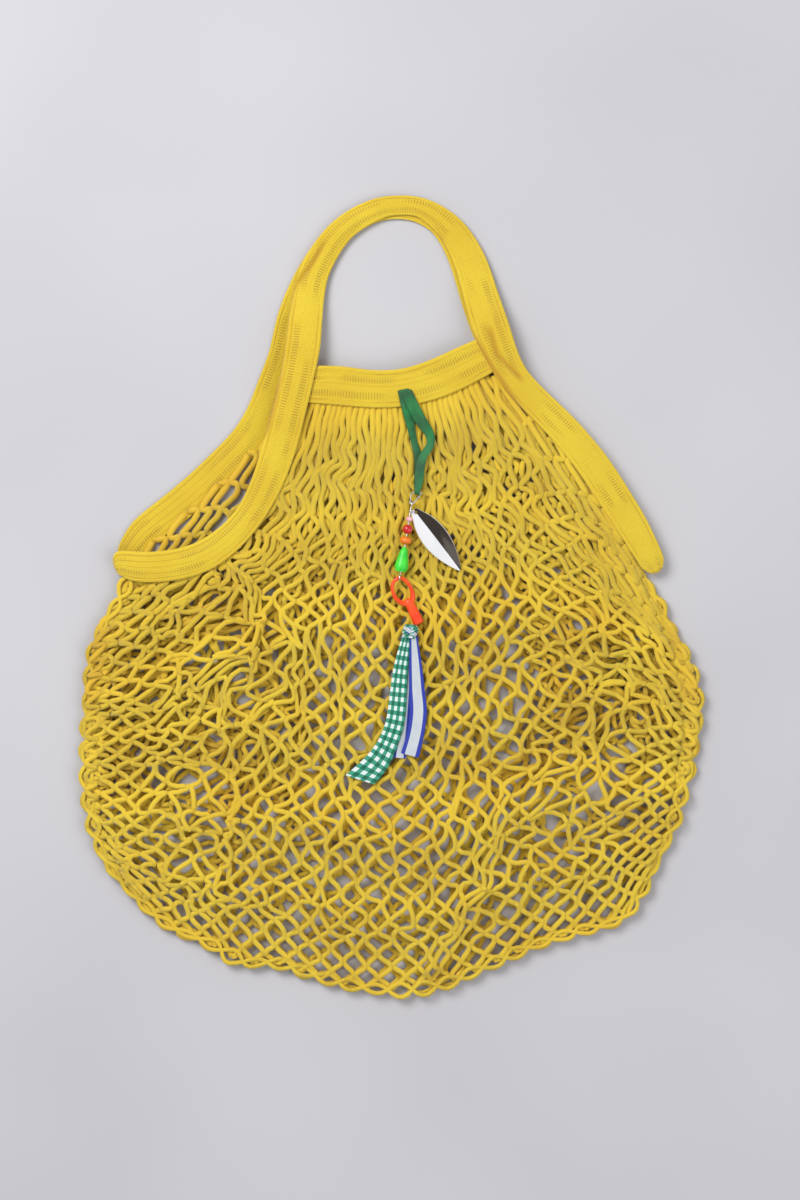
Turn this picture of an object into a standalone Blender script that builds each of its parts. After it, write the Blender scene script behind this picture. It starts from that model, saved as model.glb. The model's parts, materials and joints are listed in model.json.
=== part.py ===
"""A net bag with short tape handles, lying flat on its back, and the charm that is tied to its mouth.

Metres, +Z up. The bag lies on the XY plane with its handles towards +Y and its front up. The origin is at the
bottom centre of its box. Tables are in millimetres: x, y and z give the middle of a section.
"""

import math
from collections import namedtuple

import bmesh
import bpy
from mathutils import Vector

MM = 0.001

# Cloth and the heights at which its layers lie
CLOTH = 1.6 * MM  # knitted tape and net
GAP = 0.3 * MM  # between pieces that touch
STACK = CLOTH + GAP  # from the middle of one layer to the middle of the next
TAPE_RIDGE = 0.4 * MM  # how far the tape's two lengthwise ridges stand up
BACK_LAYER = CLOTH / 2
FRONT_LAYER = 8.8 * MM
NET_RIM = 4.4 * MM  # where the front and back net meet
TIP_DROP = 7.2 * MM  # from the front tape to the back tape at a scoop's tip

# Net
COLUMNS = 13
ROWS = 13
MOST_GAPS = 300
BUNCHED = -118 * MM  # x, to the left of which the net is too bunched up to show gaps
STRAND = 3.4 * MM
SCOOP_SHARE = 0.31  # of the net's columns that hang from each side scoop
EVENING = 5  # rounds in which the net's cells share their room
FALL = 1.3  # power by which the rows of cells open towards the bottom
LAP = 4.0 * MM  # how far the net reaches over a tape's edge
LEFT_LEG = {"front": 118 * MM, "back": 122 * MM}  # how high up the left leg the net is sewn on
RIGHT_LEG = {"front": 146 * MM, "back": 136 * MM}
BAND_SEWN = (-58 * MM, 60 * MM)  # the stretch of a mouth band that the net hangs from

# Charm
RIBBON = 1.0 * MM
WIRE = 0.5 * MM  # radius
SHAFT_TOP = Vector((13.0, 60.6, 15.3)) * MM
SHAFT_END = Vector((5.3, 13.7, 15.3)) * MM
EYE = 2.0 * MM  # radius of the eye at each end of the shaft
BEAD_BORE = WIRE + GAP
CLEVIS_STATION = 3.0 * MM  # along the shaft
CLEVIS_RADIUS = 2.4 * MM
CLEVIS_WIRE = 0.45 * MM
CLEVIS_SHIFT = CLEVIS_RADIUS - CLEVIS_WIRE - WIRE - GAP  # the blade's weight draws the ring against the shaft
CLEVIS_REACH = CLEVIS_RADIUS + CLEVIS_SHIFT
BLADE_SHEET = 0.8 * MM
BLADE_LEAN = Vector((34, 36.5, 4))  # how the blade lies: along the shaft, away from it and down
BLADE_HOLE = 1.0 * MM  # radius
CLIP_BAR = 1.0 * MM  # radius of the orange snap's loop
CLIP_END = (Vector((11.2, -4.6, 13.0)) * MM, Vector((18.4, -18.6, 12.8)) * MM)  # axis of its solid end
CLIP_END_SIZE = (6.4 * MM, 4.4 * MM)
KNOT_MIDDLE = Vector((12.4, -25.6, 14.4)) * MM
KNOT_SIZE = Vector((6.4, 6.1, 4.2)) * MM

# Profiles across a strip: side (-1 to 1) and rise
FLAT = ((-1, 0), (1, 0))
RIDGED = ((-1, 0), (-0.55, TAPE_RIDGE), (0, 0.1 * MM), (0.55, TAPE_RIDGE), (1, 0))
SOFT = ((-1, 0), (-0.4, 0.2 * MM), (0.4, 0.2 * MM), (1, 0))

UP = Vector((0, 0, 1))
Section = namedtuple("Section", "middle width heading up")


def table(columns, *rows):
    """Rows of millimetres and degrees with named columns."""
    row_type = namedtuple("Row", columns)
    return [row_type(*row) for row in rows]


FRONT_TAPE = table(
    "x y z width",
    # left scoop
    (-190, 21, 8.0, 21),
    (-172, 19, 10.7, 21),
    (-150, 21, 10.7, 21),
    (-131, 27, 10.7, 21),
    (-115, 38, 10.7, 20),
    (-101, 53, 10.7, 19),
    (-89, 74, 10.7, 21),
    (-79, 101, 10.9, 23),
    # handle, from over the left end of the mouth band to over its right end
    (-72, 127, 13.0, 23),
    (-66, 152, 13.0, 23),
    (-62, 175, 11.5, 24),
    (-59, 205, 5.6, 22),
    (-53, 229, 3.2, 20),
    (-36, 254, 2.7, 17),
    (-14, 268, 2.7, 15),
    (5, 272, 2.7, 13),
    (23, 269, 2.7, 14),
    (41, 255, 2.7, 19),
    (54, 233, 3.6, 22),
    (62, 207, 7.0, 24),
    (69, 184, 13.0, 25),
    (77, 164, 13.0, 22),
    (86, 149, 13.0, 20),
    # right scoop
    (100, 134, 11.0, 20),
    (120, 114, 10.7, 21),
    (139, 91, 10.7, 22),
    (155, 67, 10.7, 22),
    (168, 46, 10.7, 21),
    (178, 28, 10.4, 18),
    (183, 19, 8.0, 16),
)

BACK_TAPE = table(
    "x y z width",
    # left scoop, which stands open above the front one
    (-175, 42, 0.8, 22),
    (-155, 58, 0.8, 23),
    (-137, 73, 0.8, 23),
    (-119, 90, 0.8, 23),
    (-102, 108, 0.8, 23),
    (-91, 126, 0.8, 23),
    (-83, 146, 0.8, 23),
    # handle, behind the front one
    (-76, 168, 0.8, 21),
    (-71, 190, 0.8, 21),
    (-65, 208, 0.8, 20),
    (-57, 226, 0.8, 18),
    (-44, 243, 0.8, 17),
    (-28, 255, 0.8, 15),
    (-8, 264, 0.8, 15),
    (14, 264, 0.8, 15),
    (34, 256, 0.8, 18),
    (47, 238, 0.8, 18),
    (56, 213, 0.8, 20),
    (64, 190, 0.8, 21),
    (73, 169, 0.8, 20),
    # right scoop, under the front one
    (86, 148, 0.8, 18),
    (103, 130, 0.8, 18),
    (121, 112, 0.8, 19),
    (139, 90, 0.8, 20),
    (155, 66, 0.8, 20),
    (168, 45, 0.8, 19),
    (177, 30, 0.8, 17),
)

FRONT_BAND = table(
    "x y z width",
    (-68, 146, 10.7, 23),
    (-52, 146, 10.7, 26),
    (-35, 145, 10.7, 27),
    (-14, 143, 10.7, 26),
    (8, 144, 10.7, 26),
    (30, 150, 10.7, 27),
    (50, 159, 10.7, 27),
    (66, 167, 10.7, 25),
)
BACK_BAND_WIDTH = 22 * MM
BACK_BAND_LEFT = 136 * MM  # y of its left and right end
BACK_BAND_RIGHT = 154 * MM
BACK_BAND_SEAM = 1.0 * MM  # from the back tape's curved inner edges

# The net's outline, below the tips of the scoops
LEFT_RIM = table(
    "x y",
    (-184, 14),
    (-193, -6),
    (-207, -30),
    (-213, -60),
    (-214, -98),
    (-214, -138),
    (-205, -178),
    (-190, -200),
    (-172, -219),
    (-154, -233),
)
RIGHT_RIM = table(
    "x y",
    (173, 13),
    (187, -6),
    (192, -20),
    (202, -38),
    (211, -60),
    (214, -86),
    (208, -117),
    (196, -162),
    (180, -196),
    (161, -226),
)
BOTTOM_RIM = table(
    "x y",
    (-154, -233),
    (-128, -244),
    (-105, -257),
    (-80, -258),
    (-50, -268),
    (-20, -275),
    (10, -277),
    (38, -272),
    (66, -260),
    (98, -246),
    (128, -236),
    (161, -226),
)

# Where the front net is bunched up, each a soft ridge from one end to the other
FOLDS = table(
    "x0 y0 x1 y1 rise spread",
    (-170, 2, -182, -76, 4.0, 13),
    (-94, 4, -108, -50, 3.5, 11),
    (-198, -74, -150, -118, 3.0, 15),
    (-182, -186, -116, -212, 2.5, 16),
    (86, -154, 26, -262, 4.5, 14),
    (146, -18, 118, -116, 3.0, 15),
    (182, -32, 198, -104, 3.0, 14),
)

# The satin loop: down its first strand, round the wire clip, and up its second strand over the first
LOOP_DOWN = table(
    "x y z width",
    (7, 143, 12.7, 7),
    (9, 130, 12.6, 7),
    (13, 112, 11.3, 7),
    (17, 95, 10.9, 6),
    (18, 82, 10.9, 5),
    (17, 71, 10.9, 3.6),
)
LOOP_UP = table(
    "x y z width",
    (17, 71, 13.9, 3.6),
    (19, 84, 13.6, 5),
    (22, 95, 13.2, 6),
    (26, 104, 12.8, 6),
    (25, 117, 13.0, 6),
    (18, 130, 14.0, 7),
    (11, 140, 14.0, 7),
)
GINGHAM = table(
    "x y z width",
    (9, -31, 13.0, 8),
    (6, -50, 12.0, 10),
    (4, -70, 11.7, 12),
    (2, -88, 11.8, 13),
    (-3, -103, 11.7, 14),
    (-11, -117, 11.9, 17),
    (-21, -129, 11.7, 19),
)
BLUE_EDGE = table(
    "x y z width",
    (16, -31, 14.3, 6),
    (16, -49, 13.3, 9),
    (17, -67, 13.0, 11),
    (18, -81, 13.2, 12),
    (16, -97, 13.0, 12),
    (12, -112, 13.0, 13),
)
TAIL = table(
    "x y z width",
    (11, -40, 10.4, 7),
    (9, -70, 10.4, 8),
    (7, -95, 10.4, 8),
    (5, -114, 10.4, 9),
)

BEADS = table(
    "name station radius length taper",
    ("bead_pink", 8.5, 2.4, 3.6, 0),
    ("bead_red", 15.6, 3.5, 6.4, 0),
    ("bead_orange", 23.5, 4.2, 5.6, 0),
    ("float_green", 36.8, 4.8, 17.0, 2.6),
)
BLADE_OUTLINE = table(
    "along half_width cup",
    (-2.2, 1.2, 0.0),
    (-1.0, 2.1, 0.0),
    (2.5, 2.6, 0.1),
    (9.0, 5.0, 0.9),
    (17.0, 7.0, 1.7),
    (25.0, 7.6, 2.0),
    (33.0, 6.9, 1.7),
    (41.0, 4.9, 0.9),
    (48.0, 2.3, 0.2),
    (51.0, 0.7, 0.0),
)
CLIP_LOOP = table(
    "x y z",
    (4.95, 11.6, 15.3),
    (2.2, 10.2, 15.2),
    (0.2, 7.2, 14.9),
    (0.0, 3.2, 14.6),
    (2.6, -3.0, 14.0),
    (8.4, -6.4, 13.4),
    (13.0, -5.4, 13.2),
    (14.0, 0.6, 13.8),
    (11.6, 6.6, 14.6),
    (8.2, 10.4, 15.1),
)


def material(name, colour, roughness, metallic=0.0):
    """A Principled material of one sRGB colour."""
    made = bpy.data.materials.new(name)
    made.use_nodes = True
    shader = made.node_tree.nodes["Principled BSDF"]
    linear = [(c / 255) ** 2.2 for c in colour]
    shader.inputs["Base Color"].default_value = (*linear, 1)
    shader.inputs["Roughness"].default_value = roughness
    shader.inputs["Metallic"].default_value = metallic
    return made


def new_object(name, bm, finish, collection):
    """An object made from a bmesh, smooth but for its sharp edges."""
    mesh = bpy.data.meshes.new(name)
    bm.to_mesh(mesh)
    bm.free()
    mesh.materials.append(finish)
    mesh.shade_smooth()
    mesh.set_sharp_from_angle(angle=math.radians(40))
    obj = bpy.data.objects.new(name, mesh)
    collection.objects.link(obj)
    return obj


def thicken(obj, thickness):
    """Gives an open surface its thickness, half to each side."""
    shell = obj.modifiers.new("Thickness", "SOLIDIFY")
    shell.thickness = thickness
    shell.offset = 0


def catmull_rom(before, start, end, after, t):
    """The point a share t of the way from start to end on the smooth curve through all four."""
    slope_in = (end - before) / 2
    slope_out = (after - start) / 2
    swing = end - start
    return start + t * (slope_in + t * (3 * swing - 2 * slope_in - slope_out
                                        + t * (slope_in + slope_out - 2 * swing)))


def smooth_line(points, steps):
    """Points on a smooth curve through the given vectors, with steps to each span."""
    made = []
    for i in range(len(points) - 1):
        before = points[max(i - 1, 0)]
        after = points[min(i + 2, len(points) - 1)]
        for step in range(steps):
            made.append(catmull_rom(before, points[i], points[i + 1], after, step / steps))
    return made + [points[-1]]


def share_of(points, share):
    """The point at this share of a line's length."""
    lengths = [(b - a).length for a, b in zip(points, points[1:])]
    left = min(max(share, 0), 1) * sum(lengths)
    for start, end, length in zip(points, points[1:], lengths):
        if left <= length:
            return start.lerp(end, left / length)
        left -= length
    return points[-1]


def across(section):
    """The level direction across a section."""
    return Vector((math.cos(section.heading), math.sin(section.heading), 0))


def along(section):
    """The level direction in which the strip runs at a section."""
    return Vector((math.sin(section.heading), -math.cos(section.heading), 0))


def sections(rows, back=False):
    """A section for each row, square to the line of the rows. A strip that comes back on itself turns over."""
    made = []
    for i, row in enumerate(rows):
        before = rows[max(i - 1, 0)]
        after = rows[min(i + 1, len(rows) - 1)]
        run = math.atan2(after.y - before.y, after.x - before.x)
        square = run - math.pi / 2 if back else run + math.pi / 2
        if made and square - made[-1].heading > math.pi:
            square -= 2 * math.pi
        if made and made[-1].heading - square > math.pi:
            square += 2 * math.pi
        middle = Vector((row.x, row.y, row.z)) * MM
        made.append(Section(middle, row.width * MM, square, UP))
    return made


def smooth_sections(given, steps=2):
    """Sections on a smooth curve through the given ones."""
    middles = smooth_line([s.middle for s in given], steps)
    others = smooth_line([Vector((s.width, s.heading, 0)) for s in given], steps)
    return [Section(m, o.x, o.y, UP) for m, o in zip(middles, others)]


def smooth_strip(rows, back=False):
    """Sections on a smooth curve through a table's rows."""
    return smooth_sections(sections(rows, back))


def turn_under(section, outward, drop, steps=5):
    """Sections of a half turn that takes a strip from this one to a drop below it. Its ridges die out there."""
    radius = drop / 2
    centre = section.middle - UP * radius
    made = []
    for step in range(1, steps + 2):
        angle = math.pi * step / (steps + 1)
        up = outward * math.sin(angle) + UP * math.cos(angle)
        relief = up * max(0, math.cos(angle))
        made.append(Section(centre + up * radius, section.width, section.heading, relief))
    return made


def strip(name, line, profile, thickness, finish, collection):
    """A strip of cloth through its sections, with a profile across it."""
    bm = bmesh.new()
    bmesh.ops.create_grid(bm, x_segments=len(line) - 1, y_segments=len(profile) - 1, size=1)
    for vert in bm.verts:
        section = line[round((vert.co.x + 1) / 2 * (len(line) - 1))]
        side, rise = profile[round((vert.co.y + 1) / 2 * (len(profile) - 1))]
        vert.co = section.middle + across(section) * side * section.width / 2 + section.up * rise
    obj = new_object(name, bm, finish, collection)
    thicken(obj, thickness)
    return obj


def front_tape_line():
    """The front tape with the turn at each tip, from the butt seam at the left to the one at the right."""
    line = smooth_strip(FRONT_TAPE)
    tip_heading = math.radians(108)
    for i, share in enumerate((1.0, 0.7, 0.4, 0.15)):
        heading = line[i].heading + (tip_heading - line[i].heading) * share
        line[i] = line[i]._replace(heading=heading)
    left = turn_under(line[0], -along(line[0]), TIP_DROP)
    right = turn_under(line[-1], along(line[-1]), TIP_DROP)
    return left[::-1] + line + right


def back_tape_line(front):
    """The back tape, from just behind one turn of the front tape to just behind the other."""
    start = front[0]._replace(middle=front[0].middle + along(front[0]) * GAP)
    end = front[-1]._replace(middle=front[-1].middle - along(front[-1]) * GAP)
    return smooth_sections([start] + sections(BACK_TAPE) + [end])


def inner_edge(section, inset):
    """The point on the net's side of a section, this far in from its edge."""
    return section.middle - across(section) * (section.width / 2 - inset)


def lies_level(section):
    """Whether a section lies level, unlike those of a turn."""
    return section.up.z > 0.9


def mouth_of_net(tape, band, side, height):
    """The three lines along which a net layer is sewn: left scoop, mouth band, right scoop."""
    level = [s for s in tape if lies_level(s)]
    middle = [inner_edge(s, LAP) for s in band if BAND_SEWN[0] < s.middle.x < BAND_SEWN[1]]
    left = [inner_edge(s, LAP) for s in level if s.middle.x < 0 and s.middle.y < LEFT_LEG[side]]
    right = [inner_edge(s, LAP) for s in level if s.middle.x > 0 and s.middle.y < RIGHT_LEG[side]]
    left = [rim_point(LEFT_RIM[0])] + left[2:] + [middle[0]]
    right = [middle[-1]] + right[:-2] + [rim_point(RIGHT_RIM[0])]
    for line in (left, middle, right):
        for point in line:
            point.z = height
    return left, middle, right


def rim_point(row):
    """A point of the net's outline."""
    return Vector((row.x, row.y, 0)) * MM


def on_mouth(lines, u):
    """The point of a layer's upper edge at share u of the net's columns."""
    left, middle, right = lines
    if u < SCOOP_SHARE:
        return share_of(left, u / SCOOP_SHARE)
    if u > 1 - SCOOP_SHARE:
        return share_of(right, (u - 1 + SCOOP_SHARE) / SCOOP_SHARE)
    return share_of(middle, (u - SCOOP_SHARE) / (1 - 2 * SCOOP_SHARE))


def fold_height(x, y):
    """How far the bunched net stands up at a point."""
    found = 0
    for fold in FOLDS:
        start = Vector((fold.x0, fold.y0)) * MM
        run = Vector((fold.x1, fold.y1)) * MM - start
        share = min(max((Vector((x, y)) - start).dot(run) / run.length_squared, 0), 1)
        away = (Vector((x, y)) - start - run * share).length / (fold.spread * MM)
        found = max(found, fold.rise * MM * math.exp(-away * away))
    return found


def ease(t):
    """0 to 1 with level ends."""
    t = min(max(t, 0), 1)
    return t * t * (3 - 2 * t)


def net_plan(u, v, lines, rims):
    """A point of a net layer in plan, stretched between its upper edge, the two side rims and the bottom."""
    left, right, bottom = rims
    side = share_of(left, v).lerp(share_of(right, v), u)
    down = on_mouth(lines, u).lerp(share_of(bottom, u), v)
    corners = left[0].lerp(right[0], u).lerp(bottom[0].lerp(bottom[-1], u), v)
    return side + down - corners


def net_height(u, v, plan, front):
    """How high a net layer lies: over the tapes at its upper edge, drawn together at its rim."""
    settled = ease((v * ROWS - 1) / 1.5)
    if front:
        full = FRONT_LAYER + fold_height(plan.x, plan.y) * settled
    else:
        full = BACK_LAYER + STACK * (1 - settled)
    shoulder = min(1, 2 * COLUMNS * u, 2 * COLUMNS * (1 - u), 2 * ROWS * (1 - v))
    return NET_RIM + (full - NET_RIM) * shoulder


def hang_layer(bm, verts, lines, rims, front):
    """Lays one layer of the lattice between its edges, lets its cells even out, and gives it its height."""
    places = {vert: (vert.co.x + 0.5, 0.5 - vert.co.y) for vert in verts}
    for vert, (u, v) in places.items():
        vert.co = net_plan(u, v ** FALL, lines, rims)
        vert.co.z = 0
    inner = [vert for vert, (u, v) in places.items() if 0.001 < u < 0.999 and 0.001 < v < 0.999]
    for _ in range(EVENING):
        bmesh.ops.smooth_vert(bm, verts=inner, factor=0.5, use_axis_x=True, use_axis_y=True)
    for vert, (u, v) in places.items():
        vert.co.z = net_height(u, v, vert.co, front)


def diamond_lattice():
    """A unit square of diamond cells, with half cells along its edges."""
    bm = bmesh.new()
    bmesh.ops.create_grid(bm, x_segments=COLUMNS, y_segments=ROWS, size=0.5)
    old_edges = [edge for edge in bm.edges if not edge.is_boundary]
    bmesh.ops.poke(bm, faces=bm.faces[:])
    bmesh.ops.dissolve_edges(bm, edges=old_edges, use_verts=False)
    return bm


def net_body(front_lines, back_lines, finish, collection):
    """The net pouch: two layers joined round their sides and bottom, with its largest gaps cut through."""
    rims = [smooth_line([rim_point(row) for row in rows], 4) for rows in (LEFT_RIM, RIGHT_RIM, BOTTOM_RIM)]
    bm = diamond_lattice()
    front_verts = bm.verts[:]
    copied = bmesh.ops.duplicate(bm, geom=bm.verts[:] + bm.edges[:] + bm.faces[:])["geom"]
    back_verts = [item for item in copied if isinstance(item, bmesh.types.BMVert)]
    bmesh.ops.reverse_faces(bm, faces=[item for item in copied if isinstance(item, bmesh.types.BMFace)])
    hang_layer(bm, front_verts, front_lines, rims, True)
    hang_layer(bm, back_verts, back_lines, rims, False)
    bmesh.ops.remove_doubles(bm, verts=bm.verts[:], dist=0.01 * MM)
    spread = [face for face in bm.faces if face.calc_center_median().x > BUNCHED]
    largest = sorted(spread, key=lambda face: face.calc_area(), reverse=True)[:MOST_GAPS]
    bmesh.ops.inset_individual(bm, faces=largest, thickness=STRAND / 2, use_even_offset=True)
    bmesh.ops.delete(bm, geom=largest, context="FACES")
    obj = new_object("net_body", bm, finish, collection)
    thicken(obj, CLOTH)
    return obj


def tube(name, points, radius, finish, collection, closed=False):
    """A wire or moulded bar along a smooth line, as a mesh."""
    curve = bpy.data.curves.new(name, "CURVE")
    curve.dimensions = "3D"
    curve.bevel_depth = radius
    curve.bevel_resolution = 1
    curve.use_fill_caps = True
    spline = curve.splines.new("POLY")
    spline.points.add(len(points) - 1)
    for point, place in zip(spline.points, points):
        point.co = (*place, 1)
    spline.use_cyclic_u = closed
    guide = bpy.data.objects.new(name, curve)
    collection.objects.link(guide)
    bpy.context.view_layer.update()
    mesh = bpy.data.meshes.new_from_object(guide.evaluated_get(bpy.context.evaluated_depsgraph_get()))
    bpy.data.objects.remove(guide)
    bm = bmesh.new()
    bm.from_mesh(mesh)
    bpy.data.meshes.remove(mesh)
    bmesh.ops.remove_doubles(bm, verts=bm.verts[:], dist=0.01 * MM)
    bmesh.ops.recalc_face_normals(bm, faces=bm.faces[:])
    return new_object(name, bm, finish, collection)


def shaft_frame():
    """The shaft's direction, the level direction to its left, and the turn from +Z to its direction."""
    run = (SHAFT_END - SHAFT_TOP).normalized()
    return run, UP.cross(run), UP.rotation_difference(run)


def eye(centre, towards, steps=11):
    """Points round an upright eye, from near the shaft all the way round to the shaft."""
    open_angle = math.radians(42)
    points = []
    for step in range(steps + 1):
        angle = open_angle + (2 * math.pi - open_angle) * step / steps
        points.append(centre + (towards * math.cos(angle) + UP * math.sin(angle)) * EYE)
    return points


def shaft_wire(finish, collection):
    """The straight wire that carries the beads and the blade, with an upright eye at each end."""
    run, _, _ = shaft_frame()
    top = eye(SHAFT_TOP - run * EYE, run)
    bottom = eye(SHAFT_END + run * EYE, -run)[::-1]
    middle = [SHAFT_TOP.lerp(SHAFT_END, share) for share in (0.25, 0.5, 0.75)]
    return tube("shaft_wire", top + middle + bottom, WIRE, finish, collection)


def turned(name, profile, place, finish, collection, steps=16):
    """A ring with this profile of (radius, height), turned round the shaft's direction at a place."""
    bm = bmesh.new()
    verts = [bm.verts.new((radius, 0, height)) for radius, height in profile]
    edges = [bm.edges.new((a, b)) for a, b in zip(verts, verts[1:] + verts[:1])]
    bmesh.ops.spin(bm, geom=verts + edges, axis=(0, 0, 1), cent=(0, 0, 0), angle=2 * math.pi,
                   steps=steps, use_merge=True)
    bmesh.ops.recalc_face_normals(bm, faces=bm.faces[:])
    _, _, turn = shaft_frame()
    bmesh.ops.transform(bm, matrix=turn.to_matrix().to_4x4(), verts=bm.verts[:])
    bmesh.ops.translate(bm, vec=place, verts=bm.verts[:])
    return new_object(name, bm, finish, collection)


def bead(row, finish, collection):
    """A bead or float on the shaft: round where its taper is 0, else narrowed towards its upper end."""
    run, _, _ = shaft_frame()
    half = row.length * MM / 2
    profile = [(BEAD_BORE, half), (BEAD_BORE, -half)]
    outer = 8
    for step in range(outer + 1):
        share = step / outer
        height = -half + 2 * half * share
        if row.taper:
            radius = (row.taper + (row.radius - row.taper) * ease(share * 1.15)) * MM
            radius -= 1.0 * MM * (ease(1 - share * 6) + ease(share * 6 - 5))
        else:
            radius = row.radius * MM * math.sqrt(max(0.15, 1 - (height / half) ** 2 * 0.85))
        profile.append((radius, height))
    place = SHAFT_TOP + run * row.station * MM
    return turned(row.name, profile, place, finish, collection)


def blade_frame():
    """The blade's eye, and its directions along, across and up."""
    run, left, _ = shaft_frame()
    hole = SHAFT_TOP + run * CLEVIS_STATION + left * CLEVIS_REACH
    forward = (run * BLADE_LEAN.x + left * BLADE_LEAN.y - UP * BLADE_LEAN.z).normalized()
    side = UP.cross(forward).normalized()
    return hole, forward, side, forward.cross(side)


def blade_clevis(finish, collection):
    """The wire ring round the shaft, drawn to the blade's side."""
    run, left, _ = shaft_frame()
    profile = []
    for step in range(6):
        angle = 2 * math.pi * step / 6
        profile.append((CLEVIS_RADIUS + CLEVIS_WIRE * math.cos(angle), CLEVIS_WIRE * math.sin(angle)))
    place = SHAFT_TOP + run * CLEVIS_STATION + left * CLEVIS_SHIFT
    return turned("blade_clevis", profile, place, finish, collection, steps=18)


def spinner_blade(finish, collection, cutters):
    """The leaf-shaped blade, cupped along and across, with the hole by which it hangs."""
    hole, forward, side, up = blade_frame()
    shape = [Vector(row) * MM for row in BLADE_OUTLINE]
    shape = smooth_line(shape, 2)
    lanes = (-1, -0.6, 0, 0.6, 1)
    bm = bmesh.new()
    bmesh.ops.create_grid(bm, x_segments=len(shape) - 1, y_segments=len(lanes) - 1, size=1)
    for vert in bm.verts:
        row = shape[round((vert.co.x + 1) / 2 * (len(shape) - 1))]
        lane = lanes[round((vert.co.y + 1) / 2 * (len(lanes) - 1))]
        rise = row.z * (1 - lane * lane)
        vert.co = hole + forward * row.x + side * lane * row.y + up * rise
    blade = new_object("spinner_blade", bm, finish, collection)
    thicken(blade, BLADE_SHEET)
    bm = bmesh.new()
    bmesh.ops.create_cone(bm, cap_ends=True, segments=12, radius1=BLADE_HOLE, radius2=BLADE_HOLE, depth=6 * MM)
    bmesh.ops.translate(bm, vec=hole, verts=bm.verts[:])
    cutter = new_object("blade_hole", bm, finish, cutters)
    cutter.hide_render = True
    cutter.display_type = "WIRE"
    cut = blade.modifiers.new("Hole", "BOOLEAN")
    cut.operation = "DIFFERENCE"
    cut.object = cutter
    return blade


def wire_clip(finish, collection):
    """The wire ring that joins the satin loop to the shaft's upper eye."""
    run, _, _ = shaft_frame()
    fold = Vector((17, 70.8, 12.4)) * MM
    eye_seat = SHAFT_TOP - run * (EYE + EYE - 2 * WIRE - GAP)
    outline = table(
        "share aside",
        (0, 2.6), (0.04, 3.2), (0.16, 3.4), (0.5, 2.5), (0.84, 1.7), (0.96, 1.3), (1.0, 0.8),
    )
    level = Vector((1, 0, 0))
    right = [fold.lerp(eye_seat, row.share) + level * row.aside * MM for row in outline]
    left = [fold.lerp(eye_seat, row.share) - level * row.aside * MM for row in reversed(outline)]
    return tube("wire_clip", right + left, WIRE, finish, collection, closed=True)


def orange_clip(finish, collection):
    """The moulded snap: a loop through the shaft's lower eye, and its solid end."""
    points = [Vector(row) * MM for row in CLIP_LOOP]
    line = smooth_line(points + [points[0]], 2)[:-1]
    loop = tube("orange_clip", line, CLIP_BAR, finish, collection, closed=True)
    start, end = CLIP_END
    bm = bmesh.new()
    bmesh.ops.create_cube(bm, size=1)
    bmesh.ops.scale(bm, vec=(*CLIP_END_SIZE, (end - start).length), verts=bm.verts[:])
    for vert in bm.verts:
        if vert.co.z < 0:
            vert.co.x *= 0.8
    bmesh.ops.bevel(bm, geom=bm.edges[:], offset=1.3 * MM, segments=2, affect="EDGES", profile=0.5, material=-1)
    turn = (end - start).to_track_quat("Z", "Y")
    bmesh.ops.transform(bm, matrix=turn.to_matrix().to_4x4(), verts=bm.verts[:])
    bmesh.ops.translate(bm, vec=(start + end) / 2, verts=bm.verts[:])
    body = new_object("orange_clip_end", bm, finish, collection)
    join = loop.modifiers.new("Solid end", "BOOLEAN")
    join.operation = "UNION"
    join.object = body
    bpy.context.view_layer.update()
    mesh = bpy.data.meshes.new_from_object(loop.evaluated_get(bpy.context.evaluated_depsgraph_get()))
    loop.modifiers.clear()
    loop.data = mesh
    bpy.data.objects.remove(body)
    return loop


def ribbon_knot(finish, collection):
    """The knot: a lumpy round form with the turns of ribbon standing out on it."""
    bm = bmesh.new()
    bmesh.ops.create_icosphere(bm, subdivisions=3, radius=1)
    for vert in bm.verts:
        ripple = 0.09 * math.cos(6 * (vert.co.x + 0.7 * vert.co.y)) * (1 - vert.co.z ** 2 * 0.5)
        swollen = vert.co * (0.9 + ripple)
        vert.co = KNOT_MIDDLE + swollen * KNOT_SIZE
    return new_object("ribbon_knot", bm, finish, collection)


def back_mouth_band(tape, finish, collection):
    """The band behind the front one, butted between the back tape's two legs."""
    legs = [s for s in tape if lies_level(s)]
    left = min((s for s in legs if s.middle.x < 0), key=lambda s: abs(s.middle.y - BACK_BAND_LEFT))
    right = min((s for s in legs if s.middle.x > 0), key=lambda s: abs(s.middle.y - BACK_BAND_RIGHT))
    start = inner_edge(left, -BACK_BAND_SEAM)
    end = inner_edge(right, -BACK_BAND_SEAM)
    start_heading = left.heading - math.pi / 2
    end_heading = right.heading + math.pi / 2
    spans = 8
    line = []
    for step in range(spans + 1):
        share = step / spans
        heading = start_heading + (end_heading - start_heading) * share
        line.append(Section(start.lerp(end, share), BACK_BAND_WIDTH, heading, UP))
    strip("back_mouth_band", line, FLAT, CLOTH, finish, collection)
    return line


def satin_loop(finish, collection):
    """The ribbon that ties the charm on: two strands of one strip that crosses itself once."""
    down = smooth_strip(LOOP_DOWN)
    up = smooth_strip(LOOP_UP, back=True)
    drop = up[0].middle.z - down[-1].middle.z
    turn = turn_under(up[0], Vector((0, -1, 0)), drop)[:-1]
    return strip("green_ribbon_loop", down + turn[::-1] + up, FLAT, 0.8 * MM, finish, collection)


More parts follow.
